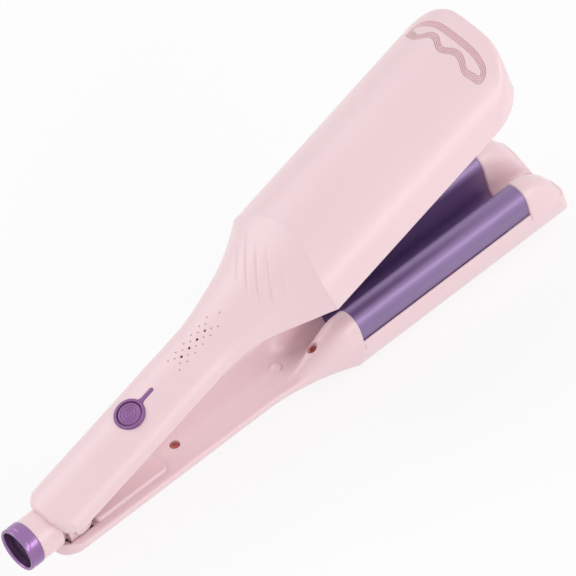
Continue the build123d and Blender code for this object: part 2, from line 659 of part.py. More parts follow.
def heater_clamp(back, direction):
    """Spring strip on the back of a heater, with both ends bent towards the plate."""
    middle = (PLATE_START + PLATE_END) / 2
    half = HEATER_LENGTH / 2 + MOULD_GAP
    tip = back - HEATER_THICKNESS * direction
    far = back + CLAMP_SHEET * direction
    points = [(-half - CLAMP_SHEET, tip), (-half, tip), (-half, back), (half, back), (half, tip),
              (half + CLAMP_SHEET, tip), (half + CLAMP_SHEET, far), (-half - CLAMP_SHEET, far)]
    return side_prism([(middle + x, z) for x, z in points], HEATER_WIDTH / 2 - MOULD_GAP)


def heat_shield(form, low, high, half_width):
    """Thin sheet that follows the inside of a cover behind the heater."""
    zone = box_between((PLATE_START + PANEL, -half_width, low), (PLATE_END - PANEL, half_width, high))
    back = WALL + MOULD_GAP
    return (form(back) - form(back + SHIELD_SHEET)) & zone


def sensor_bead(level):
    start = PLATE_START + SENSOR_START
    return rod_x(SENSOR_RADIUS, start, start + SENSOR_LENGTH, z=level)


def make_screw(x, y, seat, direction):
    """Screw whose head bears at seat; its shank runs up (+1) or down (-1)."""
    head = sorted((seat, seat - direction * SCREW_HEAD_HEIGHT))
    shank = sorted((seat, seat + direction * SCREW_LENGTH))
    return rod_z(SCREW_HEAD_RADIUS, *head, x, y) + rod_z(SCREW_RADIUS, *shank, x, y)


# ================================================================= upper arm
def upper_screw_places():
    """Place and seat level of each screw of the upper arm."""
    places = [(UPPER_REAR_SCREW_X, 0), (UPPER_FLARE_SCREW_X, UPPER_FLARE_SCREW_Y),
              (UPPER_FLARE_SCREW_X, -UPPER_FLARE_SCREW_Y)]
    return [(x, y, upper_rim(x) + SCREW_HEAD_HEIGHT) for x, y in places]


def collar_sweep():
    """Room that the collar takes up in the upper arm while the arm swings."""
    count = 6
    rod = rod_x(COLLAR_RADIUS + JOINT_CLEARANCE, -FAR, -COLLAR_START + JOINT_CLEARANCE)
    room = rod
    for step in range(1, count + 1):
        room += Rot(0, OPEN_ANGLE * step / count, 0) * rod
    return room


def tail_slab(play=0.0):
    """Indicator tail of the bezel, a strip with a round end."""
    length = TAIL_END - BUTTON_X
    strip = Pos(BUTTON_X + length / 2, 0) * SlotOverall(length + 2 * play, TAIL_WIDTH + 2 * play)
    return Pos(0, 0, CROWN_LEVEL - TAIL_DEPTH - play) * extrude(strip, TAIL_DEPTH + TAIL_PROUD + play)


def led_places():
    return [LED_START + LED_PITCH * number for number in range(LED_COUNT)]


def make_upper_cover(outer, cavity, clear_face):
    """Crowned outer shell with the flare, the control openings and the screw bosses."""
    above = rim_prism(upper_rim, UPPER_RIM_DROP_START, UPPER_RIM_DROP_END, 1)
    shell = (outer - cavity) & above
    seat = CROWN_LEVEL - BEZEL_SEAT
    shell += rod_z(BEZEL_RADIUS + WALL, seat - WALL, CROWN_LEVEL, BUTTON_X) & outer
    shell -= rod_z(BEZEL_RADIUS + MOULD_GAP, seat, FAR, BUTTON_X)
    shell -= rod_z(BEZEL_TUBE_RADIUS + MOULD_GAP, RIM_OFFSET, FAR, BUTTON_X)
    shell -= tail_slab(MOULD_GAP)
    for x in led_places():
        shell -= rod_z(LED_RADIUS + MOULD_GAP, RIM_OFFSET, FAR, x)
    for x, y, level in upper_screw_places():
        shell += rod_z(BOSS_RADIUS, level + SEAT_THICKNESS, FAR, x, y) & outer
    for x, y, level in upper_screw_places():
        shell -= rod_z(SCREW_RADIUS, 0, level + SCREW_LENGTH + MOULD_GAP, x, y)
    return shell - clear_face - collar_sweep()


def make_upper_frame(cavity, clear_face, roof_face):
    """Inner moulding: flat panel, pockets for the ridges, middle ridge, ears and board posts."""
    above = rim_prism(upper_rim, UPPER_RIM_DROP_START, UPPER_RIM_DROP_END, 1)
    over = rim_prism(upper_rim, UPPER_RIM_DROP_START, UPPER_RIM_DROP_END, 1, PANEL)
    frame = (cavity & above) - over
    frame += (roof_face - box_between((-FAR, -FAR, -FAR), (POCKET_START, FAR, FAR))) & above & cavity
    ridge_line = [(RIDGE_ROOT, PANEL), (PLATE_START - WALL, VALLEY_FLOOR),
                  (ARM_LENGTH, VALLEY_FLOOR), (ARM_LENGTH, PANEL)]
    frame += side_prism(ridge_line, RIDGE_SPACING) & cavity
    frame -= clear_face
    window = RIDGE_SPACING + RIDGE_RADIUS + PLATE_GAP + PLATE_THICKNESS + MOULD_GAP
    frame -= box_between((PLATE_START, -window, -FAR), (PLATE_END, window, FAR))
    frame += mirrored(hinge_ear())
    for x in board_screw_places():
        frame += rod_z(BOSS_RADIUS - 1, RIM_OFFSET, BOARD_LEVEL, x)
    for x, y, level in upper_screw_places():
        frame += rod_z(BOSS_RADIUS, upper_rim(x) + PANEL / 2, level + SEAT_THICKNESS, x, y)
    for x, y, level in upper_screw_places():
        frame -= rod_z(SCREW_HEAD_RADIUS + HEAD_PLAY, 0, level, x, y)
        frame -= rod_z(SCREW_HOLE_RADIUS, 0, FAR, x, y)
    for x in board_screw_places():
        frame -= rod_z(BOARD_SCREW_RADIUS, RIM_OFFSET + PANEL / 4, FAR, x)
    frame -= mirrored(rod_y(PIN_RADIUS + PIN_RUNNING, KNUCKLE_OUTER, BEARING_EDGE + WALL))
    return frame - collar_sweep()


def hinge_ear():
    """Ear on the pin, with the lug that stops the opening swing."""
    inner = KNUCKLE_OUTER + JOINT_CLEARANCE
    ear = rod_y(EAR_RADIUS, inner, BEARING_EDGE)
    ear += box_between((-EAR_RADIUS / 2, inner, WALL), (EAR_ROOT, BEARING_EDGE, RIM_OFFSET + PANEL / 2))
    lug = box_between((STOP_FACE - LUG_LENGTH, inner, STOP_LOW), (STOP_FACE - JOINT_CLEARANCE,
                      BEARING_EDGE, -EAR_RADIUS / 2))
    return ear + Rot(0, OPEN_ANGLE, 0) * lug


def make_upper_plate():
    low = VALLEY_FLOOR + PLATE_GAP + PLATE_THICKNESS / 2
    return make_plate(PLATE_GAP, 1, 0.0) + heater_seat(low, UPPER_HEATER_LEVEL)


def board_screw_places():
    return [BOARD_START + BOARD_SCREW_INSET, BOARD_END - BOARD_SCREW_INSET]


def make_board():
    length = BOARD_END - BOARD_START
    outline = Pos((BOARD_START + BOARD_END) / 2, 0) * RectangleRounded(length, BOARD_WIDTH, WALL)
    board = Pos(0, 0, BOARD_LEVEL) * extrude(outline, BOARD_THICKNESS)
    for x in board_screw_places():
        board -= rod_z(BOARD_SCREW_RADIUS + MOULD_GAP, 0, FAR, x)
    return board


def make_board_screws():
    top = BOARD_LEVEL + BOARD_THICKNESS
    screws = []
    for x in board_screw_places():
        head = rod_z(BOARD_SCREW_HEAD, top, top + BOARD_SCREW_RADIUS, x)
        screws.append(head + rod_z(BOARD_SCREW_RADIUS, RIM_OFFSET + PANEL / 3, top, x))
    return Compound(screws)


def on_board(x, length, width, height):
    """Block that stands on the board with its middle at x."""
    top = BOARD_LEVEL + BOARD_THICKNESS
    return Pos(x, 0, top + height / 2) * Box(length, width, height)


def make_board_parts():
    """Controller chip, relay and the four lamps below the light pipes."""
    parts = [on_board(CHIP_X, CHIP_SIZE, CHIP_SIZE, CHIP_HEIGHT),
             on_board(RELAY_X, RELAY_LENGTH, RELAY_WIDTH, RELAY_HEIGHT)]
    lamp = 2 * LED_RADIUS
    return Compound(parts + [on_board(x, lamp, lamp, LAMP_HEIGHT) for x in led_places()])


def make_light_pipes():
    """Clear rods from the lamps to the crown of the handle."""
    start = BOARD_LEVEL + BOARD_THICKNESS + LAMP_HEIGHT + MOULD_GAP
    end = CROWN_LEVEL - MOULD_GAP
    return Compound([rod_z(LED_RADIUS, start, end, x) for x in led_places()])


def make_switch():
    """Tact switch under the button, body and plunger."""
    low = BOARD_LEVEL + BOARD_THICKNESS
    half = SWITCH_SIZE / 2
    body = box_between((BUTTON_X - half, -half, low), (BUTTON_X + half, half, low + SWITCH_HEIGHT))
    return body + rod_z(SWITCH_SIZE / 4, low, low + SWITCH_HEIGHT + PLUNGER_HEIGHT, BUTTON_X)


def make_bezel():
    """Round bezel with its tube through the cover and its indicator tail."""
    bore = BUTTON_RADIUS + JOINT_CLEARANCE
    seat, top = CROWN_LEVEL - BEZEL_SEAT, CROWN_LEVEL + BEZEL_HEIGHT
    outline = Polyline((bore, CROWN_LEVEL - BEZEL_TUBE_DEPTH), (BEZEL_TUBE_RADIUS, CROWN_LEVEL
                       - BEZEL_TUBE_DEPTH), (BEZEL_TUBE_RADIUS, seat), (BEZEL_RADIUS, seat),
                       (BEZEL_RADIUS, top), (bore, top), close=True)
    face = make_face(outline)
    face = fillet(face.vertices().group_by(Axis.Y)[-1], (BEZEL_RADIUS - bore) / 3)
    ring = revolve(Plane.XZ * face, Axis.Z)
    tail = tail_slab() - rod_z(BEZEL_TUBE_RADIUS, 0, FAR, BUTTON_X)
    return Pos(BUTTON_X, 0, 0) * ring + tail


def make_button():
    """Dished round cap with a stem that stands over the switch."""
    top = CROWN_LEVEL + BEZEL_HEIGHT - MOULD_GAP
    low = top - BUTTON_THICKNESS
    stem_end = BOARD_LEVEL + BOARD_THICKNESS + SWITCH_HEIGHT + PLUNGER_HEIGHT + BUTTON_TRAVEL + MOULD_GAP
    dish_radius = (BUTTON_RADIUS ** 2 + BUTTON_DISH ** 2) / (2 * BUTTON_DISH)
    cap = rod_z(BUTTON_RADIUS, low, top, BUTTON_X)
    cap = fillet(cap.edges().group_by(Axis.Z)[-1], BUTTON_DISH / 2)
    cap -= Pos(BUTTON_X, 0, top - BUTTON_DISH / 2 + dish_radius) * Sphere(dish_radius)
    return cap + rod_z(SWITCH_SIZE / 4, stem_end, low + MOULD_GAP, BUTTON_X)


# ================================================================= assembly
def lower_arm_parts():
    outer = lower_form()
    heater_low = LOWER_HEATER_LEVEL - HEATER_THICKNESS
    return {
        "lower_cover": make_lower_cover(outer, lower_form(WALL), body_wave(-PANEL - MOULD_GAP)),
        "lower_frame": make_lower_frame(outer, lower_form(WALL + MOULD_GAP), body_wave(),
                                        body_wave(-PANEL)),
        "lower_plate": make_lower_plate(),
        "lower_heater": heater_bar(heater_low),
        "lower_heater_clamp": heater_clamp(heater_low, -1),
        "lower_heat_shield": heat_shield(lower_form, LAND_LEVEL, LAND_LEVEL + SHIELD_REACH,
                                         BOWL_HALF_WIDTH * 2 / 3),
        "thermal_fuse": sensor_bead(LOWER_HEATER_LEVEL - SENSOR_RADIUS),
        "lower_screws": Compound([make_screw(*place, -1) for place in screw_places()]),
        "hinge_pin": rod_y(PIN_RADIUS, -PIN_END + PIN_CAP_THICKNESS / 2, PIN_END - PIN_CAP_THICKNESS / 2),
        "pin_caps": make_pin_caps(),
        "opening_spring": make_spring(),
        "stop_pads": make_stop_pads(),
        "cord_collar": make_collar(),
        "collar_ring": make_ring(),
        "cord_gland": make_gland(),
    }


def upper_arm_parts():
    clear_face = body_wave(UPPER_FACE)
    heater_back = UPPER_HEATER_LEVEL + HEATER_THICKNESS
    return {
        "upper_cover": make_upper_cover(upper_form(), upper_form(WALL), clear_face),
        "upper_frame": make_upper_frame(upper_form(WALL + MOULD_GAP), clear_face,
                                        body_wave(UPPER_FACE + PANEL)),
        "upper_plate": make_upper_plate(),
        "upper_heater": heater_bar(UPPER_HEATER_LEVEL),
        "upper_heater_clamp": heater_clamp(heater_back, 1),
        "upper_heat_shield": heat_shield(upper_form, CROWN_HEIGHT - SHIELD_REACH, CROWN_HEIGHT,
                                         CROWN_HALF_WIDTH / 2),
        "temperature_sensor": sensor_bead(UPPER_HEATER_LEVEL + SENSOR_RADIUS),
        "upper_screws": Compound([make_screw(*place, 1) for place in upper_screw_places()]),
        "control_board": make_board(),
        "board_parts": make_board_parts(),
        "board_screws": make_board_screws(),
        "tact_switch": make_switch(),
        "light_pipes": make_light_pipes(),
        "button_bezel": make_bezel(),
        "power_button": make_button(),
    }


def build():
    """Place both arms, open, over the point under the middle of the object, and write the files."""
    lower = lower_arm_parts()
    tip = lower["lower_frame"].bounding_box().max.X
    tip = max(tip, lower["lower_cover"].bounding_box().max.X)
    place = Pos((RING_END - tip) / 2, 0, -LAND_LEVEL)
    swing = place * Rot(0, -OPEN_ANGLE, 0)
    placed = {name: place * shape for name, shape in lower.items()}
    placed.update({name: swing * shape for name, shape in upper_arm_parts().items()})
    for name, shape in placed.items():
        export_step(shape, f"parts/{name}.step")


if __name__ == "__main__":
    build()
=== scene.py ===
# %% [markdown]
# # A hair waver, piece by piece
# This lesson dresses the finished engineering model of a deep-wave hair iron: two long arms on a
# sprung hinge, pale pink satin plastic outside and purple coated plates inside. The model is
# loaded first as a fixed frame, because every new piece takes its place and its motion from it.

# %% Load the model
import math

import bmesh
import bpy
import numpy as np
from mathutils import Matrix, Vector


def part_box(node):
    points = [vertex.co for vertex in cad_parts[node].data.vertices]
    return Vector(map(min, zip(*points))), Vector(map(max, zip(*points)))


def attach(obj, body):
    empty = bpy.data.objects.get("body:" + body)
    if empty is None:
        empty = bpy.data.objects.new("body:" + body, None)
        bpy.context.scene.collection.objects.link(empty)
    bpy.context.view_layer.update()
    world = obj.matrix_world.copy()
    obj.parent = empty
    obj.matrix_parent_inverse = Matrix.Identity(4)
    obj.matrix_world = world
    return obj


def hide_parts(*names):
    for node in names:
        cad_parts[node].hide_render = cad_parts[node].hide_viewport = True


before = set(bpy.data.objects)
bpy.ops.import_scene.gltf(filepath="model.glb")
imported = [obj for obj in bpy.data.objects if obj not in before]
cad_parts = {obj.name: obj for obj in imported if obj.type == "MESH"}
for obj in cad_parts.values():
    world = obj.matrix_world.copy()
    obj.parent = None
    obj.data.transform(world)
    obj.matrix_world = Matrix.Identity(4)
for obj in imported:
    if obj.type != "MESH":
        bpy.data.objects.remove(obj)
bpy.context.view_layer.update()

# %% [markdown]
# ## Two sets of coordinates
# An arm is easiest to describe closed and flat, in millimetres from the hinge pin. Two small
# functions carry such points to their place in the scene, in metres: the lower arm only moves to
# the pin, and the upper arm also turns about it by the opening angle. The pin's place is read
# from the model, so nothing has to be fitted by eye.

# %% From arm millimetres to scene metres
OPEN_ANGLE = math.radians(18.5)
pin_low, pin_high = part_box("hinge_pin")
PIN = (np.array(pin_low) + np.array(pin_high)) / 2


def lower_place(points):
    """Scene point = pin + arm point, in metres."""
    return points * 0.001 + PIN


def upper_place(points):
    """The same after a turn about Y: x' = x cos - z sin, z' = x sin + z cos."""
    x, y, z = np.moveaxis(points, -1, 0)
    cos, sin = math.cos(OPEN_ANGLE), math.sin(OPEN_ANGLE)
    return lower_place(np.stack([x * cos - z * sin, y, x * sin + z * cos], -1))


print("pin at", np.round(PIN * 1000, 2))

# %% [markdown]
# ## Grids become meshes
# Every new surface here is a function of two parameters. Worked out on a grid it gives a table of
# points, and neighbouring points make the quads. A piece can be put together from several such
# sheets: their shared edges are merged afterwards, so that the skin is closed. Smooth shading
# with a limit on the angle keeps real edges crisp.

# %% A mesh from sheets of points
def sheet_faces(rows, columns, first):
    """Quads of a grid whose points are numbered row by row from first."""
    index = np.arange(rows * columns).reshape(rows, columns) + first
    corners = [index[:-1, :-1], index[:-1, 1:], index[1:, 1:], index[1:, :-1]]
    return np.stack(corners, -1).reshape(-1, 4)


def make_mesh(name, sheets, place, keep=None, outward=False, hollow=None):
    """One mesh from several (rows, columns, 3) sheets.

    keep says which quads of the first sheet stay, and the hollow values how deep in a groove or
    well each of its points lies, from 0 to 1, which the plastic turns into painted shade."""
    points, faces, first = [], [], 0
    for number, grid in enumerate(sheets):
        quads = sheet_faces(grid.shape[0], grid.shape[1], first)
        if number == 0 and keep is not None:
            quads = quads[keep.reshape(-1)]
        points.append(place(grid).reshape(-1, 3))
        faces.append(quads)
        first += grid.shape[0] * grid.shape[1]
    points, faces = np.concatenate(points), np.concatenate(faces)
    mesh = bpy.data.meshes.new(name)
    mesh.vertices.add(len(points))
    mesh.vertices.foreach_set("co", points.astype(np.float32).reshape(-1))
    mesh.loops.add(faces.size)
    mesh.loops.foreach_set("vertex_index", faces.astype(np.int32).reshape(-1))
    mesh.polygons.add(len(faces))
    mesh.polygons.foreach_set("loop_start", np.arange(0, faces.size, 4, dtype=np.int32))
    mesh.update(calc_edges=True)
    if hollow is not None:
        depths = np.zeros(len(points), dtype=np.float32)
        depths[:hollow.size] = np.clip(hollow, 0, 1).reshape(-1)
        # These depths are read by the plastic's colour as painted shade.
        mesh.attributes.new("hollow", "FLOAT", "POINT").data.foreach_set("value", depths)
    mesh.validate()
    work = bmesh.new()
    work.from_mesh(mesh)
    bmesh.ops.remove_doubles(work, verts=work.verts, dist=2e-6)
    bmesh.ops.dissolve_degenerate(work, edges=work.edges, dist=1e-6)
    loose = [vertex for vertex in work.verts if not vertex.link_faces]
    bmesh.ops.delete(work, geom=loose, context="VERTS")
    if outward:
        bmesh.ops.recalc_face_normals(work, faces=work.faces)
    work.to_mesh(mesh)
    work.free()
    return mesh


# %% A piece from its sheets
def make_piece(name, sheets, place, body, slot, replaces, smooth=35, wall=0.0, **shape):
    """Object that rides a body; wall adds a thickness inwards, in millimetres.

    Its material is that of the slot, which the table of skins gives."""
    mesh = make_mesh(name, sheets, place, **shape)
    mesh.shade_smooth()
    mesh.set_sharp_from_angle(angle=math.radians(smooth))
    edge_of_loop = np.zeros(len(mesh.loops), dtype=np.int32)
    mesh.loops.foreach_get("edge_index", edge_of_loop)
    sharp = np.zeros(len(mesh.edges), dtype=bool)
    mesh.edges.foreach_get("use_edge_sharp", sharp)
    border = np.bincount(edge_of_loop, minlength=len(mesh.edges)) == 1
    mesh.edges.foreach_set("use_edge_sharp", sharp | border)
    piece = bpy.data.objects.new(name, mesh)
    bpy.context.scene.collection.objects.link(piece)
    mesh.materials.append(skins[slot])
    if wall:
        shell = piece.modifiers.new("wall", "SOLIDIFY")
        shell.thickness, shell.offset = wall * 0.001, -1
        shell.use_even_offset = False
    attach(piece, body)
    for node in replaces:
        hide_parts(node)
    print(name, len(mesh.polygons), "faces")


# %% [markdown]
# ## Maths with sockets
# A material's node tree is a sum written with boxes. One small class wraps an output, so that
# `rough + 0.1 * grain` adds the Math nodes by itself, and one method adds every other node.

# %% The socket wrapper
class Term:
    """An output of a node tree that Python's operators work on."""

    def __init__(self, nodes, socket):
        self.nodes, self.socket = nodes, socket

    def maths(self, operation, *terms):
        """Add a Math node for these terms or numbers."""
        return self.nodes.node("ShaderNodeMath", {"operation": operation}, dict(enumerate(terms)))

    def __add__(self, other):
        return self.maths("ADD", self, other)

    def __sub__(self, other):
        return self.maths("SUBTRACT", self, other)

    def __rsub__(self, other):
        return self.maths("SUBTRACT", other, self)

    def __mul__(self, other):
        return self.maths("MULTIPLY", self, other)

    __radd__, __rmul__ = __add__, __mul__


class Nodes:
    """A node tree that hands out its outputs as terms."""

    def __init__(self, tree):
        self.tree = tree

    def feed(self, socket, value):
        """Link a term to a socket, or set the socket to a constant."""
        if isinstance(value, Term):
            self.tree.links.new(value.socket, socket)
        else:
            socket.default_value = value

    def node(self, kind, settings, sockets, out=0):
        """Add one node: its settings first, then the values or links of its sockets."""
        made = self.tree.nodes.new(kind)
        for key, value in settings.items():
            setattr(made, key, value)
        for key, value in sockets.items():
            self.feed(made.inputs[key], value)
        return Term(self, made.outputs[out])


class Tree(Nodes):
    """The node tree of one new material, with its shader and output already in place."""

    def __init__(self, name, **constants):
        self.material = bpy.data.materials.new(name)
        self.material.use_nodes = True
        super().__init__(self.material.node_tree)
        self.tree.nodes.clear()
        self.coordinates = self.node("ShaderNodeTexCoord", {}, {}, "Object")
        self.shader = self.tree.nodes.new("ShaderNodeBsdfPrincipled")
        self.output = self.tree.nodes.new("ShaderNodeOutputMaterial")
        self.tree.links.new(self.shader.outputs[0], self.output.inputs["Surface"])
        self.set(**constants)

    def set(self, **values):
        """Constants or terms for the shader's sockets, their names written with underscores."""
        for key, value in values.items():
            self.feed(self.shader.inputs[key.replace("_", " ")], value)

    def noise(self, scale, detail=2.0, stretch=(1, 1, 1)):
        """Fractal noise over the object's own coordinates, which are metres here."""
        scaled = self.node("ShaderNodeMapping", {}, {"Vector": self.coordinates, "Scale": stretch})
        return self.node("ShaderNodeTexNoise", {}, {"Vector": scaled, "Scale": scale,
                                                    "Detail": detail})

    def mix(self, factor, first, second):
        """Colour between first and second."""
        sockets = {0: factor, 6: first, 7: second}
        return self.node("ShaderNodeMix", {"data_type": "RGBA"}, sockets, 2)

    def bump(self, height, distance, strength, normal=None):
        """Normal of a surface raised by height times distance."""
        sockets = {"Height": height, "Distance": distance, "Strength": strength}
        if normal is not None:
            sockets["Normal"] = normal
        return self.node("ShaderNodeBump", {}, sockets)

    def soft_edges(self, radius):
        """Normal that rounds every edge of the piece by this radius."""
        return self.node("ShaderNodeBevel", {"samples": 6}, {"Radius": radius})


def colour(red, green, blue):
    """Screen colour, 0 to 255, as the linear colour that a shader takes."""
    parts = [part / 255 for part in (red, green, blue)]
    return tuple(part / 12.92 if part < 0.04 else ((part + 0.055) / 1.055) ** 2.4
                 for part in parts) + (1.0,)


# %% [markdown]
# ## Pale pink plastic
# The housings are moulded from satin ABS. Its colour is even, but never perfectly so: a slow
# drift of tone and of gloss keeps the large crown from looking painted, and a spark-eroded mould
# leaves a grain of a few tenths of a millimetre, which is only a bump. A little light scatters
# below the surface, so the shaded sides turn a warmer pink instead of grey.

# %% Pink plastic
def pink_plastic(name, edges=0.0):
    """Two close tones by noise; the attribute of hollows paints shade into grooves and wells: a
    darker, redder pink there, and a rougher finish.
    """
    tree = Tree(name, IOR=1.46, Subsurface_Weight=0.12, Subsurface_Scale=0.004,
                Subsurface_Radius=(1.0, 0.45, 0.4), Coat_Weight=0.7, Coat_Roughness=0.33,
                Coat_IOR=1.65)
    drift = tree.noise(26, 3)
    grain = tree.noise(2600, 2)
    hollow = tree.node("ShaderNodeAttribute", {"attribute_name": "hollow"}, {}, "Fac")
    even = tree.mix(drift, colour(238, 210, 214), colour(233, 203, 208))
    # Painted shade: the deeper a point lies in a hollow, the more its colour turns to a darker,
    # redder pink (190, 118, 128).
    tree.set(Base_Color=tree.mix(hollow, even, colour(190, 118, 128)),
             Roughness=0.36 + 0.07 * drift + 0.05 * grain + 0.2 * hollow)
    rounded = tree.soft_edges(edges) if edges else None
    tree.set(Normal=tree.bump(grain, 0.00003, 0.35, rounded))
    return tree.material


pink = pink_plastic("pink_satin_plastic")
pink_soft = pink_plastic("pink_satin_plastic_soft_edges", 0.0005)
print("made", pink.name, pink_soft.name)

# %% [markdown]
# ## Purple metals and lacquers
# The plates are aluminium with a purple ceramic coating: half metal, half paint, with a fine
# streak along their length from the extrusion. The ring at the cord end is polished and
# anodised, and the button and its bezel are metallised plastic, a shade redder.

# %% Purple finishes
def purple_metal(name, light, dark, rough, streak, metal, **constants):
    """Coloured metal: drift between two tones, with streaks along X of the given strength."""
    tree = Tree(name, **constants)
    drift = tree.noise(40, 3)
    lines = tree.noise(900, 3, (0.03, 1, 1))
    grain = tree.noise(4000, 1)
    tree.set(Base_Color=tree.mix(0.6 * drift + 0.4 * lines, light, dark),
             Metallic=metal + 0.1 * drift,
             Roughness=rough + streak * lines + 0.04 * grain,
             Normal=tree.bump(lines + 0.5 * grain, 0.00002, 0.25))
    return tree.material


plate_purple = purple_metal("plate_coating", colour(136, 106, 160), colour(118, 90, 142),
                            0.42, 0.06, 0.62, Coat_Weight=0.6, Coat_Roughness=0.4, Coat_IOR=2.0)
ring_purple = purple_metal("anodised_ring", colour(164, 126, 176), colour(142, 102, 156),
                           0.24, 0.05, 0.8, Coat_Weight=0.3, Coat_Roughness=0.12)
button_purple = purple_metal("metallised_button", colour(144, 102, 150), colour(124, 82, 132),
                             0.30, 0.04, 0.55)

# %% [markdown]
# ## The small and the hidden
# What sits inside still shows when the part is taken apart, so it gets its own finishes: ceramic,
# spring steel, foil, rubber, board lacquer. One function covers them, since they differ in colour,
# metal, gloss and in how coarse their grain is, and a table holds those numbers. The new skins
# take the pink without softened edges, because their edges are already rounded in the mesh.

# %% Finishes of the inner parts
def simple_finish(name, light, dark, rough, metal=0.0, scale=600, height=0.00004):
    """Two tones mixed by noise, gloss that follows it, and a grain of the given height."""
    tree = Tree(name)
    drift = tree.noise(scale / 8, 3)
    grain = tree.noise(scale, 3)
    tree.set(Base_Color=tree.mix(0.5 * drift + 0.5 * grain, light, dark),
             Metallic=metal,
             Roughness=rough + 0.12 * grain,
             Normal=tree.bump(grain, height, 0.4))
    return tree.material


INNER = {
    "dark_gland": ("gland_rubber", (52, 22, 62), (38, 14, 48), 0.42, {"metal": 0.1}),
    "lamp_dark": ("smoked_lamp", (52, 8, 26), (30, 4, 14), 0.12, {}),
    "screw_steel": ("copper_screw", (196, 120, 110), (160, 84, 78), 0.28, {"metal": 0.9}),
    "heater_ceramic": ("alumina_ceramic", (232, 230, 222), (216, 212, 204), 0.55,
                       {"scale": 1500}),
    "spring_steel": ("spring_steel", (150, 152, 158), (118, 120, 126), 0.26,
                     {"metal": 0.95, "scale": 1800}),
    "shield_foil": ("shield_foil", (214, 214, 218), (184, 186, 190), 0.2,
                    {"metal": 0.95, "scale": 500, "height": 0.0001}),
    "sensor_metal": ("sensor_brass", (206, 178, 120), (176, 148, 96), 0.3, {"metal": 0.9}),
    "pin_steel": ("pin_steel", (190, 190, 196), (160, 160, 166), 0.22,
                  {"metal": 0.95, "scale": 1200}),
    "pad_rubber": ("pad_rubber", (70, 66, 70), (52, 48, 52), 0.7,
                   {"scale": 2000, "height": 0.0001}),
    "board_green": ("board_lacquer", (36, 96, 58), (26, 76, 46), 0.32, {"scale": 900}),
    "chip_black": ("chip_resin", (40, 40, 44), (28, 28, 32), 0.5, {"scale": 2500}),
    "switch_body": ("switch_resin", (60, 58, 62), (44, 42, 46), 0.45, {"scale": 1800}),
}
finishes = {slot: simple_finish(name, colour(*light), colour(*dark), rough, **more)
            for slot, (name, light, dark, rough, more) in INNER.items()}
finishes.update({"pink_plastic": pink_soft, "purple_plate": plate_purple,
                 "purple_ring": ring_purple, "purple_button": button_purple})
skins = {**finishes, "pink_plastic": pink}
print(len(finishes), "finishes")

# %% Dress the nodes that keep their shape
dressed = 0
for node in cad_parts.values():
    slot_name = node.data.materials[0].name.split(".")[0]
    if slot_name in finishes:
        node.material_slots[0].material = finishes[slot_name]
        dressed += 1
print("dressed", dressed, "of", len(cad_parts), "nodes")

# %% [markdown]
# ## The crowned cover
# The upper cover is the piece that the eye meets first: a slim handle that flares until it meets
# a wide barrel, with a sharp arch where the two surfaces cross. Both sections are half ellipses,
# so along a ray at angle t from the rim's centre each one has a known radius, and the cover is
# simply the smaller of the two. The arch is where they are equal, and a bisection finds it for
# every ray at once. Splitting the cover exactly there lets each half have the grid it needs.

# %% Numbers of the upper cover, in millimetres
HANDLE_WIDTH, HANDLE_HEIGHT, RIM_LEVEL = 15.9, 10.4, 5.2
HANDLE_TOP = RIM_LEVEL + HANDLE_HEIGHT
CROWN_WIDTH, CROWN_HEIGHT = 34.3, 24.5
HANDLE_END, TIP_END, TIP_LEAN = -8.8, 279.0, 3.0
HANDLE_CORNER, CROWN_CORNER = 12.0, 25.0
HANDLE_FILLET, CROWN_FILLET = 2.2, 2.4
FILLET_ROWS, WALL_ROWS = 8, 6
FLARE_START, WIDE_AT, TALL_AT, FLARE_POWER = 92.0, 146.0, 157.0, 1.85
RIM_DROP = (106, 138)
WALL = 2.0
RIDGE_Y, RIDGE_Z, VALLEY_Z = 15.0, 4.8, -5.0


def way_share(value, start, end):
    """Share of the way from start to end, from 0 to 1."""
    return np.clip((value - start) / (end - start), 0, 1)


def ease(value, start, end):
    """Smooth step: 3 s^2 - 2 s^3 of the share s of the way."""
    share = way_share(value, start, end)
    return share * share * (3 - 2 * share)


def swell(x, start, end, power):
    """Growth of a flare: the share of the way, raised to a power."""
    return (np.maximum(0, x - start) / (end - start)) ** power


def between(first, last, share):
    """Straight way: first plus the share of what is missing to last."""
    return first + (last - first) * share


# %% Sections of the cover
def ellipse_radius(angle, width, height, lift=0.0):
    """Distance to an ellipse along a ray from a point that lies lift above its centre: the root
    of a r^2 + b r + c = 0, where r = 1 / sqrt(a) without a lift."""
    a = (np.cos(angle) / width) ** 2 + (np.sin(angle) / height) ** 2
    b = 2 * lift * np.sin(angle) / height ** 2
    c = (lift / height) ** 2 - 1
    return (-b + np.sqrt(b * b - 4 * a * c)) / (2 * a)


def cover_rim(x):
    """Level of the cover's rim: the handle's, eased down to zero."""
    return RIM_LEVEL * (1 - ease(x, *RIM_DROP))


def flare_radius(x, angle):
    """Section of the flare, which grows in width and in height by powers of the way."""
    wider = swell(x, FLARE_START, WIDE_AT, FLARE_POWER)
    taller = swell(x, FLARE_START, TALL_AT, FLARE_POWER)
    height = between(HANDLE_TOP, CROWN_HEIGHT, taller) - cover_rim(x)
    return ellipse_radius(angle, between(HANDLE_WIDTH, CROWN_WIDTH, wider), height)


def barrel_radius(x, angle):
    """Section of the barrel, seen from the rim's centre, which may lie above its own."""
    return ellipse_radius(angle, CROWN_WIDTH, CROWN_HEIGHT, cover_rim(x))


def cover_point(x, angle, radius):
    """Point at x, out from the rim's middle by the radius along the ray."""
    return np.stack([x + 0 * angle, radius * np.cos(angle),
                     cover_rim(x) + radius * np.sin(angle)], -1)


# %% Where flare and barrel meet
BEYOND_ARCH = 168.0


def arch_place(angle):
    """Bisection on x for flare radius = barrel radius, for all angles at once."""
    low, high = np.full(angle.shape, FLARE_START), np.full(angle.shape, BEYOND_ARCH)
    for step in range(40):
        middle = (low + high) / 2
        inside = flare_radius(middle, angle) < barrel_radius(middle, angle)
        low, high = np.where(inside, middle, low), np.where(inside, high, middle)
    return (low + high) / 2


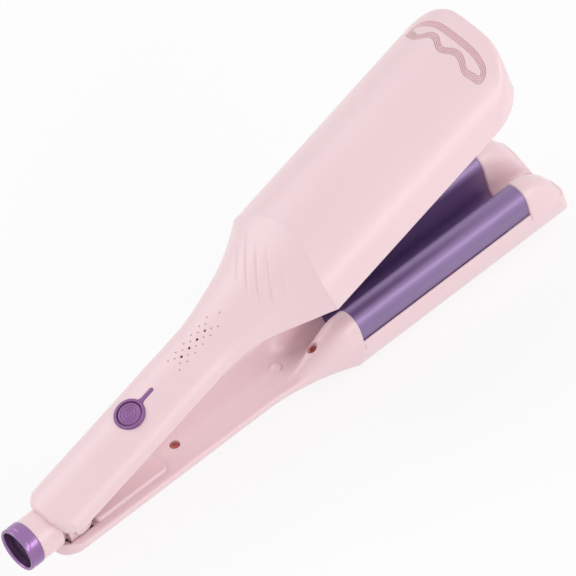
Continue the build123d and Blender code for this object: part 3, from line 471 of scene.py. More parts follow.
print("arch at x =", np.round(arch_place(np.linspace(0, math.pi, 9)), 1))

# %% [markdown]
# ## Rounded ends
# Both ends of the cover are rounded rectangles in plan. A row of the grid walks along the crown
# up to a line just inside that outline, turns down through a quarter circle and ends at the
# bottom of the end wall. The quarter circle shrinks towards the sides, where crown and wall are
# already in line.

# %% The end of a shell
def end_outline(y, half_width, radius, round_off):
    """For each y on the crown: the outline point that it turns to, the outline's direction
    there and the depth of the fillet. A table of outline points is read backwards for it."""
    def corner(edge):
        """Direction by the arcsin of the way into the corner, and the depth, eased to zero."""
        lean = np.arcsin(np.clip((edge - half_width + radius) / radius, 0, 1))
        return lean, round_off * ease(half_width - edge, 0, 1.6 * round_off)

    table = np.linspace(0, half_width, 4001)
    lean, fillet = corner(table)
    edge = np.interp(np.abs(y), table - fillet * np.sin(lean), table)
    lean, fillet = corner(edge)
    return edge * np.sign(y), lean * np.sign(y), fillet, -radius * (1 - np.cos(lean))


def end_rows(angle, x_end, facing, half_width, half_height, centre, radius, round_off, bottom,
             land=math.inf):
    """Fillet and wall rows of a shell's end, from the crown to the bottom of the wall.

    facing is +1 for an end that looks along X and -1 for the other one. The fillet point is
    outline - depth (1 - sin t) inwards, and its height falls by depth (1 - cos t). No crown is
    higher than land."""
    section = ellipse_radius(angle, half_width, half_height)
    section = np.minimum(section, land / np.maximum(np.sin(angle), 1e-6))
    edge, lean, fillet, back = end_outline(section * np.cos(angle), half_width, radius, round_off)
    turn = np.linspace(0, math.pi / 2, FILLET_ROWS)[:, None]
    inward = fillet * (1 - np.sin(turn))
    x = x_end + facing * (back - inward * np.cos(lean))
    y = edge - inward * np.sin(lean)
    height = np.minimum(half_height * np.sqrt(np.clip(1 - (y / half_width) ** 2, 0, 1)), land)
    z = centre + height - np.minimum(fillet * (1 - np.cos(turn)), height)
    rows = np.stack([x, y, z], -1)
    low = np.minimum(bottom(rows[-1, :, 1]), rows[-1, :, 2])
    drop = np.linspace(0, 1, WALL_ROWS + 1)[1:, None]
    wall = np.repeat(rows[-1:], WALL_ROWS, axis=0)
    wall[:, :, 2] = between(rows[-1, :, 2], low, drop)
    return np.concatenate([rows, wall])


def spread(*zones):
    """Unevenly spaced numbers: (end of a zone, steps in it) after the start."""
    values = [np.array([zones[0]], float)]
    for end, steps in zones[1:]:
        values.append(np.linspace(values[-1][-1], end, steps + 1)[1:])
    return np.concatenate(values)


# %% [markdown]
# ## Handle and flare
# The front half carries the small things: the seat of the button, four lamp holes with their
# dimples, and the soft pleats of the flare. A pleat is a shallow groove along a line drawn on
# the crown, deepest on the line and fading to both sides and both ends. The rows are close where
# these details are and wide apart elsewhere.

# %% Handle grid
side_zone = math.radians(35)
handle_angles = spread(0, (side_zone, 14), (math.pi - side_zone, 104), (math.pi, 14))
handle_tip = end_rows(handle_angles, HANDLE_END, -1, HANDLE_WIDTH, HANDLE_HEIGHT, RIM_LEVEL,
                      HANDLE_CORNER, HANDLE_FILLET, lambda y: 0 * y + RIM_LEVEL)[::-1]
start_x = handle_tip[-1, :, 0]
BEHIND, AHEAD = 42.0, 113.0
stations = spread(0, (BEHIND, 14), (60, 30), (78, 12), (111.4, 129), (AHEAD, 2), (124, 8),
                  (147, 52), (TALL_AT, 8))[1:, None]
arch_x = arch_place(handle_angles)
rows_x = np.where(stations < BEHIND, between(start_x, BEHIND, stations / BEHIND), stations)
towards_arch = between(AHEAD, arch_x, way_share(stations, AHEAD, TALL_AT))
rows_x = np.where(stations > AHEAD, towards_arch, rows_x)
rays = handle_angles[None, :]
handle_body = cover_point(rows_x, rays, flare_radius(rows_x, rays))
handle_grid = np.concatenate([handle_tip, handle_body])
print("handle grid", handle_grid.shape)

# %% Normals of a grid
def grid_normals(grid):
    """Cross product of the two directions along the grid, turned away from the arm's middle."""
    normal = np.cross(np.gradient(grid, axis=0), np.gradient(grid, axis=1))
    normal /= np.maximum(np.linalg.norm(normal, axis=-1, keepdims=True), 1e-9)
    return normal * np.sign((grid * normal * [0, 1, 1]).sum(-1).mean())


# %% Pleats
WIDE_DEPTH, FINE_DEPTH, FINE_WIDTH = 0.22, 0.2, 0.42
PLEATS = [((123.5, 1.2), (141.0, 20.8), 0.8), ((121.5, -8.0), (146.4, 19.4), 1.0),
          ((122.0, -14.2), (146.0, 10.6), 1.0), ((125.4, -18.4), (146.0, 1.8), 0.9),
          ((131.0, -20.6), (146.4, -6.6), 0.6)]


def pleat_depth(x, y):
    """Sum over the lines of a wide bell, steeper on one side, and a fine groove; ends faded."""
    depth = 0 * x
    for first, last, strength in PLEATS:
        first, last = np.array(first), np.array(last)
        length = np.linalg.norm(last - first)
        way = (last - first) / length
        along = ((x - first[0]) * way[0] + (y - first[1]) * way[1]) / length
        across = (y - first[1]) * way[0] - (x - first[0]) * way[1]
        fade = strength * ease(along, -0.08, 0.3) * ease(-along, -1.1, -0.65)
        bell = WIDE_DEPTH / (1 + (across / np.where(across > 0, 2.0, 0.6)) ** 2)
        depth += fade * (bell + FINE_DEPTH * np.exp(-(across / FINE_WIDTH) ** 2))
    return depth


# %% Lamp holes and dimples
LAMP_START, LAMP_PITCH = 84.6, 5.13


def lamp_place(number):
    """The lamps stand in a row along the handle: start + number times pitch."""
    return LAMP_START + LAMP_PITCH * number


LAMPS = [lamp_place(number) for number in range(4)]
SIDES = (-1, 1)
DIMPLES = ([(lamp_place(n + 0.5), side * 1.9) for n in range(-1, 4) for side in SIDES]
           + [(lamp_place(n), side * 3.85) for n in range(-1, 5) for side in SIDES]
           + [(lamp_place(5), 0.0)])
LAMP_HOLE, DIMPLE_HOLE = 0.62, 0.36


def hole_depth(x, y, centre, radius, depth):
    """Round well: full depth inside, with a short smooth step at the radius."""
    away = np.hypot(x - centre[0], y - centre[1])
    return depth * (1 - ease(away, radius - 0.12, radius + 0.22))


surface_x, surface_y = handle_grid[..., 0], handle_grid[..., 1]
pleated = pleat_depth(surface_x, surface_y)
# Pleats and dimples get hollow values, which paint shade into them as a darker pink.
sunk, hollow = pleated, np.clip((pleated - 0.2) * 0.9, 0, 0.22)
for x in LAMPS:
    sunk = sunk + hole_depth(surface_x, surface_y, (x, 0.0), LAMP_HOLE, 0.5)
for spot in DIMPLES:
    dimple = hole_depth(surface_x, surface_y, spot, DIMPLE_HOLE, 1.0)
    sunk, hollow = sunk + 0.3 * dimple, hollow + 0.75 * dimple
handle_grid = handle_grid - grid_normals(handle_grid) * sunk[..., None]
print("deepest detail", round(float(sunk.max()), 2), "mm")

# %% Handle piece
BUTTON_X, BUTTON_SEAT = 50.5, 6.95
middle = (handle_grid[:-1, :-1] + handle_grid[1:, 1:]) / 2
outside_button = np.hypot(middle[..., 0] - BUTTON_X, middle[..., 1]) > BUTTON_SEAT
make_piece("handle_cover", [handle_grid], upper_place, "upper_arm", "pink_plastic",
           ["upper_cover"], wall=WALL, keep=outside_button, hollow=hollow)

# %% [markdown]
# ## Barrel
# The barrel half is a plain crown, so its ornament can be exact: four fine grooves that follow
# each other round a long closed band, even with the tip on one side and waved on the other.
# They are level lines of one function, the distance to the band's outline, which is why they
# stay parallel through every bend. The end wall is open below, where the nose of the lower
# arm closes into it.

# %% Barrel grid
edge_zone = math.radians(32)
barrel_angles = spread(0, (edge_zone, 26), (math.pi - edge_zone, 280), (math.pi, 26))
ARCH_RADIUS, ARCH_REACH, FLANK_SLOPE = 8.7, 8.69, 3.7


def notch(y):
    """Lower edge of the end wall: the rim, or two arches with straight outer flanks, in which
    the ridges of the lower nose lie with room to spare."""
    from_ridge = np.abs(y) - RIDGE_Y
    arches = RIDGE_Z + np.sqrt(np.clip(ARCH_RADIUS ** 2 - from_ridge ** 2, 0, None))
    flank = RIDGE_Z - FLANK_SLOPE * (from_ridge - ARCH_REACH)
    beside = np.where(from_ridge > 0, flank, VALLEY_Z)
    return np.maximum(0.0, np.where(np.abs(from_ridge) < ARCH_REACH, arches, beside))


barrel_tip = end_rows(barrel_angles, TIP_END, 1, CROWN_WIDTH, CROWN_HEIGHT, 0.0, CROWN_CORNER,
                      CROWN_FILLET, notch)
barrel_tip[..., 0] -= TIP_LEAN * (1 - barrel_tip[..., 2] / CROWN_HEIGHT)
end_x = barrel_tip[0, :, 0]
arch_x = arch_place(barrel_angles)
shares = np.linspace(0, 1, 22)[:-1, None]
from_end = spread(22, (18.5, 3), (5.0, 84), (0, 6))[:-1, None]
rows_x = np.concatenate([between(arch_x, end_x - from_end[0], shares), end_x - from_end])
rays = barrel_angles[None, :]
barrel_body = cover_point(rows_x, rays, barrel_radius(rows_x, rays))
barrel_grid = np.concatenate([barrel_body, barrel_tip])
print("barrel grid", barrel_grid.shape)

# %% Ornament
BAND_TOP, BAND_MEAN, BAND_SWING, BAND_WAVE, BAND_END = 5.6, 15.6, 1.5, 16.2, 25.5
BAND_ASIDE, TIP_BEND, END_BEND = 1.6, 4.6, 4.2
GROOVES, GROOVE_PITCH, GROOVE_DEPTH = 4, 0.84, 0.5


def round_corner(first, second, radius):
    """Smaller of two distances, with the corner between them rounded."""
    corner = radius - np.hypot(np.maximum(radius - first, 0), np.maximum(radius - second, 0))
    return np.where((first < radius) & (second < radius), corner, np.minimum(first, second))


def band_share(from_end, around):
    """Grooves where the distance into the band is below four pitches: (1 - cos) / 2 of it."""
    bend = 2 * math.pi / BAND_WAVE
    waved_edge = BAND_MEAN + BAND_SWING * np.cos(bend * around)
    slope = BAND_SWING * bend * np.sin(bend * around)
    to_waves = (waved_edge - from_end) / np.sqrt(1 + slope ** 2)
    distance = round_corner(from_end - BAND_TOP, to_waves, TIP_BEND)
    distance = round_corner(distance, BAND_END - np.abs(around), END_BEND)
    inside = (distance > 0) & (distance < GROOVES * GROOVE_PITCH)
    return inside * (1 - np.cos(2 * math.pi * distance / GROOVE_PITCH)) / 2


full_section = barrel_grid[18, :, 1:]
steps = np.linalg.norm(np.diff(full_section, axis=0), axis=-1)
around = np.concatenate([[0], np.cumsum(steps)])
around -= around[-1] / 2 - BAND_ASIDE
share = band_share(end_x - barrel_grid[..., 0], around + 0 * barrel_grid[..., 0])
share[len(barrel_body):] = 0
barrel_grid = barrel_grid - grid_normals(barrel_grid) * (GROOVE_DEPTH * share)[..., None]
# The ornament's grooves are painted darker, as shade, by hollow values of 0.6 times share to the
# power 2.5.
make_piece("barrel_cover", [barrel_grid], upper_place, "upper_arm", "pink_plastic",
           ["upper_cover"], wall=WALL, hollow=0.6 * share ** 2.5)

# %% [markdown]
# ## Turned parts
# Ring, collar, gland, bezel and button are turned shapes: a profile of points goes round an
# axis. The profile is rounded first, by cutting each corner with a short curve, because a sharp
# edge on a small metal part never catches the light as a real one does.

# %% Rounded profile and lathe
def roll(start, corner, finish, steps=11):
    """Quadratic curves, one for each row: (1-t)^2 start + 2t(1-t) corner + t^2 finish."""
    t = np.linspace(0, 1, steps)[None, :, None]
    start, corner, finish = start[:, None], corner[:, None], finish[:, None]
    return (1 - t) ** 2 * start + 2 * t * (1 - t) * corner + t ** 2 * finish


def rounded(points, radii):
    """Closed outline whose corners are replaced by curves between points at the given reach."""
    points = np.array(points, float)
    radii = np.broadcast_to(np.array(radii, float), len(points))
    before, after = np.roll(points, 1, axis=0), np.roll(points, -1, axis=0)
    back, on = before - points, after - points
    back_length = np.linalg.norm(back, axis=1, keepdims=True)
    on_length = np.linalg.norm(on, axis=1, keepdims=True)
    reach = np.minimum(radii[:, None], 0.48 * np.minimum(back_length, on_length))
    first, last = points + back / back_length * reach, points + on / on_length * reach
    outline = roll(first, points, last, 5).reshape(-1, 2)
    return np.concatenate([outline, outline[:1]])


def lathe(profile, axis, centre=(0, 0, 0), steps=96):
    """Profile of (height along the axis, radius), turned round one of the three axes."""
    turn = np.linspace(0, 2 * math.pi, steps + 1)[None, :]
    height, radius = profile[:, :1] + 0 * turn, profile[:, 1:] + 0 * turn
    cos, sin = radius * np.cos(turn), radius * np.sin(turn)
    parts = {"X": [height, cos, sin], "Y": [cos, height, sin], "Z": [cos, sin, height]}[axis]
    return np.stack(parts, -1) + np.array(centre, float)


# %% Lamp pipes
def above_handle(profile):
    """Profile whose heights are given from the top of the handle."""
    return np.array(profile) + [HANDLE_TOP, 0]


lamp_profile = rounded(above_handle([(-4.0, 0.0), (-4.0, 0.6), (-0.35, 0.6), (-0.22, 0.35),
                                     (-0.2, 0.0)]), 0.08)
make_piece("lamp_pipes", [lathe(lamp_profile, "Z", (x, 0, 0), 32) for x in LAMPS], upper_place,
           "upper_arm", "lamp_dark", ["light_pipes"], outward=True)

# %% Collar, ring and gland
collar_profile = rounded([(-9.2, 7.9), (-9.2, 10.3), (-21.0, 10.3), (-21.0, 9.0), (-23.5, 9.0),
                          (-23.5, 7.9)], [0.1, 0.3, 0.5, 0.1, 0.1, 0.1])
make_piece("cord_collar_shell", [lathe(collar_profile, "X")], lower_place, "lower_arm",
           "pink_plastic", ["cord_collar"], outward=True)
ring_profile = rounded([(-21.02, 9.02), (-21.02, 10.35), (-21.6, 10.66), (-25.4, 10.66),
                        (-26.0, 10.45), (-26.6, 10.68), (-28.48, 10.55), (-28.48, 9.4),
                        (-27.6, 9.02)], [0.1, 0.3, 0.4, 0.3, 0.4, 0.3, 0.8, 0.5, 0.4])
make_piece("cord_ring", [lathe(ring_profile, "X", steps=128)], lower_place, "lower_arm",
           "purple_ring", ["collar_ring"], outward=True)
gland_profile = rounded([(-24.5, 3.3), (-24.5, 8.7), (-23.8, 8.7), (-23.8, 7.6), (-20.8, 7.6),
                         (-20.8, 6.3), (-17.7, 6.3), (-17.7, 7.3), (-16.5, 7.1), (-16.5, 3.3)],
                        [0.8, 0.3, 0.1, 0.1, 0.1, 0.1, 0.1, 0.1, 0.3, 0.4])
make_piece("cord_gland_insert", [lathe(gland_profile, "X")], lower_place, "cord_swivel",
           "dark_gland", ["cord_gland"], outward=True)

# %% [markdown]
# ## Bezel and button
# The bezel's face is dished in two steps, and the cap inside carries fine concentric rings that
# the thumb can feel. Both are profiles with small waves on them. The tail that points towards
# the tip is a narrow strip with a round end, laid along the crown of the handle.

# %% Bezel
bezel_profile = rounded(above_handle([
    (-3.0, 5.92), (-3.0, 6.48), (-1.25, 6.5), (-1.25, 7.48), (0.22, 7.48), (0.58, 7.0),
    (0.5, 6.5), (0.58, 6.1), (0.3, 5.92)]), [0.1, 0.1, 0.1, 0.2, 0.4, 0.4, 0.3, 0.3, 0.2])
TAIL_START, TAIL_END, TAIL_HALF = BUTTON_X + 6.6, 66.0, 1.1
tail_x = np.linspace(TAIL_START, TAIL_END, 40)[:, None]
tail_side = np.linspace(-1, 1, 13)[None, :]
into_end = np.clip(tail_x - (TAIL_END - TAIL_HALF), 0, TAIL_HALF) / TAIL_HALF
tail_half = (TAIL_HALF + 0.9 * ease(-tail_x, -59.5, -57)) * np.sqrt(1 - into_end ** 2)
tail_top = (HANDLE_TOP + 0.3 - 0.22 * tail_side ** 4
            - 0.3 * ease(tail_x, TAIL_END - 0.7, TAIL_END))
tail_sheet = np.stack([tail_x + 0 * tail_side, tail_half * tail_side, tail_top], -1)
tail_edge = np.concatenate([tail_sheet[:, 0], tail_sheet[::-1, -1]])
tail_wall = np.stack([tail_edge, tail_edge * [1, 1, 0] + [0, 0, HANDLE_TOP - 0.8]])
bezel_sheets = [lathe(bezel_profile, "Z", (BUTTON_X, 0, 0)), tail_sheet, tail_wall]
make_piece("button_ring", bezel_sheets, upper_place, "upper_arm", "purple_button",
           ["button_bezel"], smooth=40)

# %% Button
CAP_RADIUS, RING_PITCH, RING_HEIGHT = 5.6, 1.45, 0.1
cap_radius = np.concatenate([np.linspace(0, 5.2, 90), [5.4, 5.52, 5.58, CAP_RADIUS, CAP_RADIUS]])
dish = 0.3 * (1 - (cap_radius / CAP_RADIUS) ** 2)
ringed = ease(cap_radius, 0.2, 0.9) * ease(-cap_radius, -5.2, -4.4)
rings = RING_HEIGHT * np.cos(cap_radius * 2 * math.pi / RING_PITCH) * ringed
cap_height = 0.5 - dish - 0.35 * ease(cap_radius, 5.25, CAP_RADIUS) + rings
cap_height[-1] = -1.15
below = [(-1.2, 5.5), (-1.2, 1.5), (-2.2, 1.5), (-2.2, 0.0)]
cap_profile = above_handle(np.concatenate([np.stack([cap_height, cap_radius], -1), below]))
make_piece("thumb_button", [lathe(cap_profile, "Z", (BUTTON_X, 0, 0), 120)], upper_place,
           "power_button", "purple_button", ["power_button"], outward=True)

# %% [markdown]
# ## The wave that both arms share
# Handle tray, ramps and barrel of the lower arm have one moulded outline: a foot on each side, two
# round ridges and a round valley, joined by straight flanks that touch both circles. Only a few
# numbers change along the arm: how far the ridges are apart, how high and how round they are, and
# how deep the valley is. So the whole inner face is that outline, swept with changing numbers.

# %% Numbers of the lower arm, in millimetres
LOWER_END, LOWER_TIP, NOSE_TOP = -10.7, 278.8, 12.5
LOWER_FILLET, NOSE_FILLET = 2.4, 5.0
BOWL_WIDTH, BOWL_HEIGHT, BOWL_LEVEL, LAND = 24.2, 24.5, -3.0, -25.5
PLATE_START, PLATE_END, SEAM_DROP = 155.7, 255.0, 1.6
BARREL_X = 200.0
RIM_RISE, RAMP, LOWER_FLARE = (118, 150), (119, 152), (108, 154, 1.65)


def lower_rim(x):
    """Level of the lower rim: the handle's, eased up to the bowl's."""
    return between(-RIM_LEVEL, BOWL_LEVEL, ease(x, *RIM_RISE))


def lower_growth(x):
    """Share of the flare that is done at x."""
    return np.minimum(1, swell(x, *LOWER_FLARE))


def lower_width(x):
    """Half width of the lower arm, which grows with the flare."""
    return between(HANDLE_WIDTH, BOWL_WIDTH, lower_growth(x))


def bowl_radius(x, angle):
    """Ray down from the rim's middle: the nearest of flare, bowl and the flat land."""
    rim = lower_rim(x)
    height = between(HANDLE_TOP, BOWL_HEIGHT - BOWL_LEVEL, lower_growth(x)) + rim
    flare = ellipse_radius(angle, lower_width(x), height)
    bowl = ellipse_radius(angle, BOWL_WIDTH, BOWL_HEIGHT, BOWL_LEVEL - rim)
    land = (rim - LAND) / np.maximum(np.sin(angle), 1e-6)
    return np.minimum(np.minimum(flare, bowl), land)


# %% Outline of the wave
RIDGE_STEPS, SLOPE_STEPS, VALLEY_STEPS = 36, 12, 34


def arc(centre_y, centre_z, radius, first, last, steps):
    """Points of a circle between two angles, one row for each station."""
    turn = between(first, last, np.linspace(0, 1, steps)[None, :])
    return np.stack([centre_y + radius * np.cos(turn), centre_z + radius * np.sin(turn)], -1)


def straight(first, last, steps):
    """Points between two ends, without the ends."""
    share = np.linspace(0, 1, steps + 2)[None, 1:-1, None]
    return between(first[:, None], last[:, None], share)


def wave_half(spacing, ridge_z, ridge, valley_z, valley, foot_y, foot_z):
    """Ridge, slope and valley of one side.

    The flank from the foot touches the ridge at the angle of the foot seen from the ridge's
    centre, plus acos(radius / distance). The slope touches ridge and valley at the angle from
    centre to centre, less acos(both radii / distance)."""
    reach = np.hypot(foot_y - spacing, foot_z - ridge_z)
    flank = np.arctan2(foot_z - ridge_z, foot_y - spacing) + np.arccos(np.minimum(1, ridge / reach))
    span = np.hypot(spacing, valley_z - ridge_z)
    inner = np.arctan2(valley_z - ridge_z, -spacing) % (2 * math.pi)
    inner = inner - np.arccos(np.minimum(1, (ridge + valley) / span))
    crest = arc(spacing, ridge_z, ridge, flank, inner, RIDGE_STEPS)
    dip = arc(0 * spacing, valley_z, valley, inner - math.pi, 0 * inner - math.pi / 2,
              VALLEY_STEPS)
    return np.concatenate([crest, straight(crest[:, -1], dip[:, 0], SLOPE_STEPS), dip], 1)


def body_numbers(x):
    """Spacing, ridge level and radius, valley level and radius, and foot, from handle to barrel."""
    share = ease(x, *RAMP)
    ridge, valley = between(3.5, 7.7, share), between(6.0, 14.0, (1 - share) ** 4)
    top, floor = between(-4.6, NOSE_TOP, share), between(-8.0, -11.0, share)
    return (between(12.2, RIDGE_Y, share), top - ridge, ridge, floor + valley, valley,
            lower_width(x), lower_rim(x))


# %% [markdown]
# ## Rolled lip
# Where the inner face meets the outside, the real moulding has no edge: the wall turns over in a
# soft roll. A quadratic curve does that, from a point a little down the outer wall, pulled
# towards the corner, to a point on the flank. The outer shell starts exactly at that first
# point, so inner face and outer shell become one skin without a visible seam.

# %% Section of the inner face
def seam_angle(x):
    """Angle of the ray to the seam, which lies below the rim: angle = arcsin(drop / radius)
    again and again, until it settles."""
    angle = np.full(np.shape(x), 0.08)
    for step in range(12):
        angle = np.arcsin(SEAM_DROP / bowl_radius(x, angle))
    return angle


def seam_point(x):
    """Point on the outer shell at the seam's angle."""
    angle = seam_angle(x)
    radius = bowl_radius(x, angle)
    return np.stack([radius * np.cos(angle), lower_rim(x) - radius * np.sin(angle)], -1)


def mirrored(side):
    """One side of a section and its mirror image, joined in the middle."""
    return np.concatenate([side, side[:, -2::-1] * [-1, 1]], 1)


def inner_section(x, numbers, drop=0.0):
    """Section of the inner face at each x, roll included; drop shrinks it all round."""
    spacing, ridge_z, ridge, valley_z, valley, foot_y, foot_z = np.stack(numbers)[..., None]
    half = wave_half(spacing, ridge_z, ridge - drop, valley_z, valley + drop, foot_y - drop, foot_z)
    corner = np.stack([foot_y[:, 0] - drop, foot_z[:, 0] + 0.2], -1)
    flank = half[:, 0] - corner
    length = np.linalg.norm(flank, axis=-1, keepdims=True)
    finish = corner + flank * np.minimum(0.95, 2.6 / length)
    lip = roll(seam_point(x), corner, finish)
    return mirrored(np.concatenate([lip, straight(finish, half[:, 0], 4), half], 1))


def at_x(x, section):
    """Section points with their x in front, where x may be one number for each row or point."""
    return np.concatenate([(x + 0 * section[..., 0])[..., None], section], -1)


# %% Rounded corners and edges
LIP_STEPS = ((0.4, 0.12), (0.7, 0.42), (0.88, 0.9), (0.9, 1.6))


def corner_back(y, half_width, radius):
    """How far a corner that is round in plan lies behind the end's flat middle, at each y."""
    side = np.clip(np.abs(y) - (half_width - radius), 0, radius)
    return radius - np.sqrt(radius ** 2 - side ** 2)


def end_face(x, station, numbers, steps):
    """Rows of an end face at x: the section of one station, moved and shrunk step by step."""
    return [at_x(x + step, inner_section(station, numbers, drop)) for step, drop in steps]


def end_lip(row, facing):
    """Rows that turn down after the last row of a face, towards X with the sign of facing."""
    return [row + [facing * ahead, 0, -low] for ahead, low in LIP_STEPS]


print("a face ends in", len(LIP_STEPS), "steps down")

# %% Tray, ramps and shoulder
STRAIGHT_FROM = 20.0
stations = spread(-9.8, (1.3, 14), (58, 22), (68, 36), (108, 12), (119, 8), (130, 22), (142, 44),
                  (152, 20), (155.2, 8))
tray = inner_section(stations, body_numbers(stations))
early = way_share(stations, STRAIGHT_FROM, stations[0])[:, None]
rounding = corner_back(tray[..., 0], HANDLE_WIDTH, HANDLE_CORNER) * early
tray_grid = at_x(stations[:, None] + rounding, tray)
shoulder = end_face(stations[-1], stations[-1:], body_numbers(stations[-1:]),
                    ((0.25, 0.05), (0.38, 0.14), (0.46, 0.28), (0.5, 0.5), (0.5, 2.2)))
tray_grid = np.concatenate(end_lip(tray_grid[:1], -1)[::-1] + [tray_grid] + shoulder)
print("tray grid", tray_grid.shape)

# %% Screw wells and dome
SCREWS = [(63.0, 0.0, -9.3), (136.0, 11.5, 1.3), (136.0, -11.5, 1.3)]
DOME_X, DOME_RADIUS, DOME_HEIGHT = 123.0, 2.6, 1.7
# well gathers the inside of the screw wells, which is later painted darker as shade.
level, well = tray_grid[..., 2], 0
for x, y, floor_level in SCREWS:
    away = np.hypot(tray_grid[..., 0] - x, tray_grid[..., 1] - y)
    inside = 1 - ease(away, 2.1, 2.5)
    rim_lift = 0.22 * np.exp(-((away - 2.9) / 0.42) ** 2)
    level = level + (np.minimum(level, floor_level) - level) * inside + rim_lift
    well = well + inside
away = np.hypot(tray_grid[..., 0] - DOME_X, tray_grid[..., 1])
level = level + DOME_HEIGHT * np.sqrt(np.clip(1 - (away / DOME_RADIUS) ** 2, 0, 1))
tray_grid[..., 2] = level
print("wells at", SCREWS)

# %% [markdown]
# ## Nose
# Beyond the plates the ridges sink to a rounded nose. Its side outline is level, then turns down
# through a large radius to a face that leans back. Lowering the ridges along that outline, with
# their own radius kept, rounds them in every direction, as on a bar of soap. The rows also bend
# to the rounded corners in plan.

# %% Side outline of the nose
NOSE_LEAN, NOSE_ROUND, TIP_CORNER = 4.5, 22.0, 6.0
slope_length = math.hypot(NOSE_LEAN, NOSE_TOP - LAND)
OUT_X, OUT_Z = (NOSE_TOP - LAND) / slope_length, NOSE_LEAN / slope_length
round_z = NOSE_TOP - NOSE_ROUND
round_x = LOWER_TIP - NOSE_LEAN * (round_z - LAND) / (NOSE_TOP - LAND) - NOSE_ROUND / OUT_X


def nose_height(x):
    """Level of the crest: a circle that starts level at round_x."""
    return round_z + np.sqrt(np.clip(NOSE_ROUND ** 2 - np.maximum(0, x - round_x) ** 2, 0, None))


def nose_back(z):
    """How far the end lies behind the tip at a level: the leaning face, then the circle."""
    face = NOSE_LEAN * (z - LAND) / (NOSE_TOP - LAND)
    circle = LOWER_TIP - round_x - np.sqrt(np.clip(NOSE_ROUND ** 2 - (z - round_z) ** 2, 0, None))
    return np.where(z > round_z + NOSE_ROUND * OUT_Z, circle, face)


print("nose falls from x =", round(round_x, 1))

# %% Nose grid
CREST_END = 276.2
crest_x = between(round_x, CREST_END, np.sin(np.linspace(0, math.pi / 2, 46)))
crest_x[0] = PLATE_END
crest = np.maximum(nose_height(crest_x), BOWL_LEVEL + 0.4)
barrel_x = np.full(crest_x.shape, BARREL_X)
full = body_numbers(barrel_x)
nose_numbers = (full[0], crest - full[2]) + full[2:]
nose = inner_section(barrel_x, nose_numbers)
end_y, end_z = nose[-1].T
lip_ahead, lip_low = LIP_STEPS[-1]
nose_reach = (LOWER_TIP - nose_back(end_z - lip_low)
              - corner_back(end_y, BOWL_WIDTH, TIP_CORNER) - lip_ahead)
nose_share = way_share(crest_x, PLATE_END, crest_x[-1])[:, None]
nose_grid = at_x(between(PLATE_END, nose_reach[None, :], nose_share), nose)
first_rows = end_face(PLATE_END, barrel_x[:1], [value[:1] for value in nose_numbers],
                      ((0.0, 2.2), (0.0, 0.52), (0.18, 0.34), (0.38, 0.16), (0.6, 0.03)))
nose_grid = np.concatenate(first_rows + [nose_grid[2:]] + end_lip(nose_grid[-1:], 1))
print("nose grid", nose_grid.shape)

# %% [markdown]
# ## Outer shell of the lower arm
# The outside is the same kind of shell as the upper cover, upside down: a flare that grows into
# a deep bowl with a flat land to stand on. Its rows are the stations of the inner face, so that
# both meet point by point along the seam. The end walls climb to the edge of the inner face.
# Beside the hinge two rectangles are left out of that face, because the ears of the upper arm
# turn there, and each of them gets a well with a floor.

# %% Shell of the lower arm
shell_share = np.concatenate([np.linspace(0, 0.16, 14)[:-1], np.linspace(0.16, 0.84, 76),
                              np.linspace(0.84, 1, 14)[1:]])


def shell_angles(x):
    """Angles from seam to seam, one row for each station."""
    seam = seam_angle(x)[:, None]
    return seam + (math.pi - 2 * seam) * shell_share[None, :]


def end_level(grid_row):
    """Function of y: the height of a row of the inner face, for the end wall below it."""
    order = np.argsort(grid_row[:, 1])
    return lambda y: -np.interp(y, grid_row[order, 1], grid_row[order, 2])


handle_rows = end_rows(shell_angles(np.array([0.0]))[0], LOWER_END, -1, HANDLE_WIDTH,
                       HANDLE_HEIGHT, RIM_LEVEL, HANDLE_CORNER, LOWER_FILLET,
                       end_level(tray_grid[0])) * [1, 1, -1]
tip_rows = end_rows(shell_angles(barrel_x[:1])[0], LOWER_TIP, 1, BOWL_WIDTH, BOWL_HEIGHT,
                    -BOWL_LEVEL, TIP_CORNER, NOSE_FILLET, end_level(nose_grid[-1]),
                    BOWL_LEVEL - LAND) * [1, 1, -1]
tip_rows[..., 0] -= nose_back(tip_rows[..., 2])
band_x = np.linspace(PLATE_START, PLATE_END, 30)
middle_x = np.concatenate([stations, band_x, crest_x[1:]])
shell = shell_angles(middle_x)
shell_radius = bowl_radius(middle_x[:, None], shell)
shell_grid = np.stack([middle_x[:, None] + 0 * shell, shell_radius * np.cos(shell),
                       lower_rim(middle_x)[:, None] - shell_radius * np.sin(shell)], -1)
for rows, start, end in ((handle_rows, STRAIGHT_FROM, middle_x[0]),
                         (tip_rows, PLATE_END, crest_x[-1])):
    part = way_share(middle_x, start, end)[:, None]
    shell_grid[..., 0] += (rows[0, :, 0] - end) * part
outer_grid = np.concatenate([handle_rows[:0:-1], shell_grid, tip_rows[1:]])
print("shell grid", outer_grid.shape)

# %% The seam is shared
SLIDING_COLUMNS = 14


def meet_shell(grid, rows, shell_rows):
    """Slide the outer columns of an inner grid along X, so that its edges lie on the shell: by
    the whole gap at the edge, and by less and less inwards."""
    weight = np.clip(1 - np.arange(grid.shape[1]) / SLIDING_COLUMNS, 0, 1)
    for side, column in ((weight, 0), (weight[::-1], -1)):
        gap = shell_grid[shell_rows, column, 0] - grid[rows, column, 0]
        grid[rows, :, 0] += gap[:, None] * side[None, :]


lip, first = len(LIP_STEPS), len(first_rows)
meet_shell(tray_grid, slice(lip, lip + len(stations)), slice(0, len(stations)))
meet_shell(nose_grid, slice(first, first + len(crest_x) - 2), slice(-len(crest_x) + 2, None))
print("the seam has", len(middle_x), "stations on each side")

# %% Side bands beside the plates
seam = seam_point(band_x)
band_corner = np.broadcast_to([24.15, -1.5], seam.shape)
band_top = np.broadcast_to([22.95, -0.62], seam.shape)
inner_edge = np.broadcast_to([[22.6, -0.55], [22.4, -0.62], [22.28, -0.85], [22.25, -2.2]],
                             (len(band_x), 4, 2))
band = at_x(band_x[:, None], np.concatenate([roll(seam, band_corner, band_top, 9), inner_edge], 1))
print("bands", band.shape)

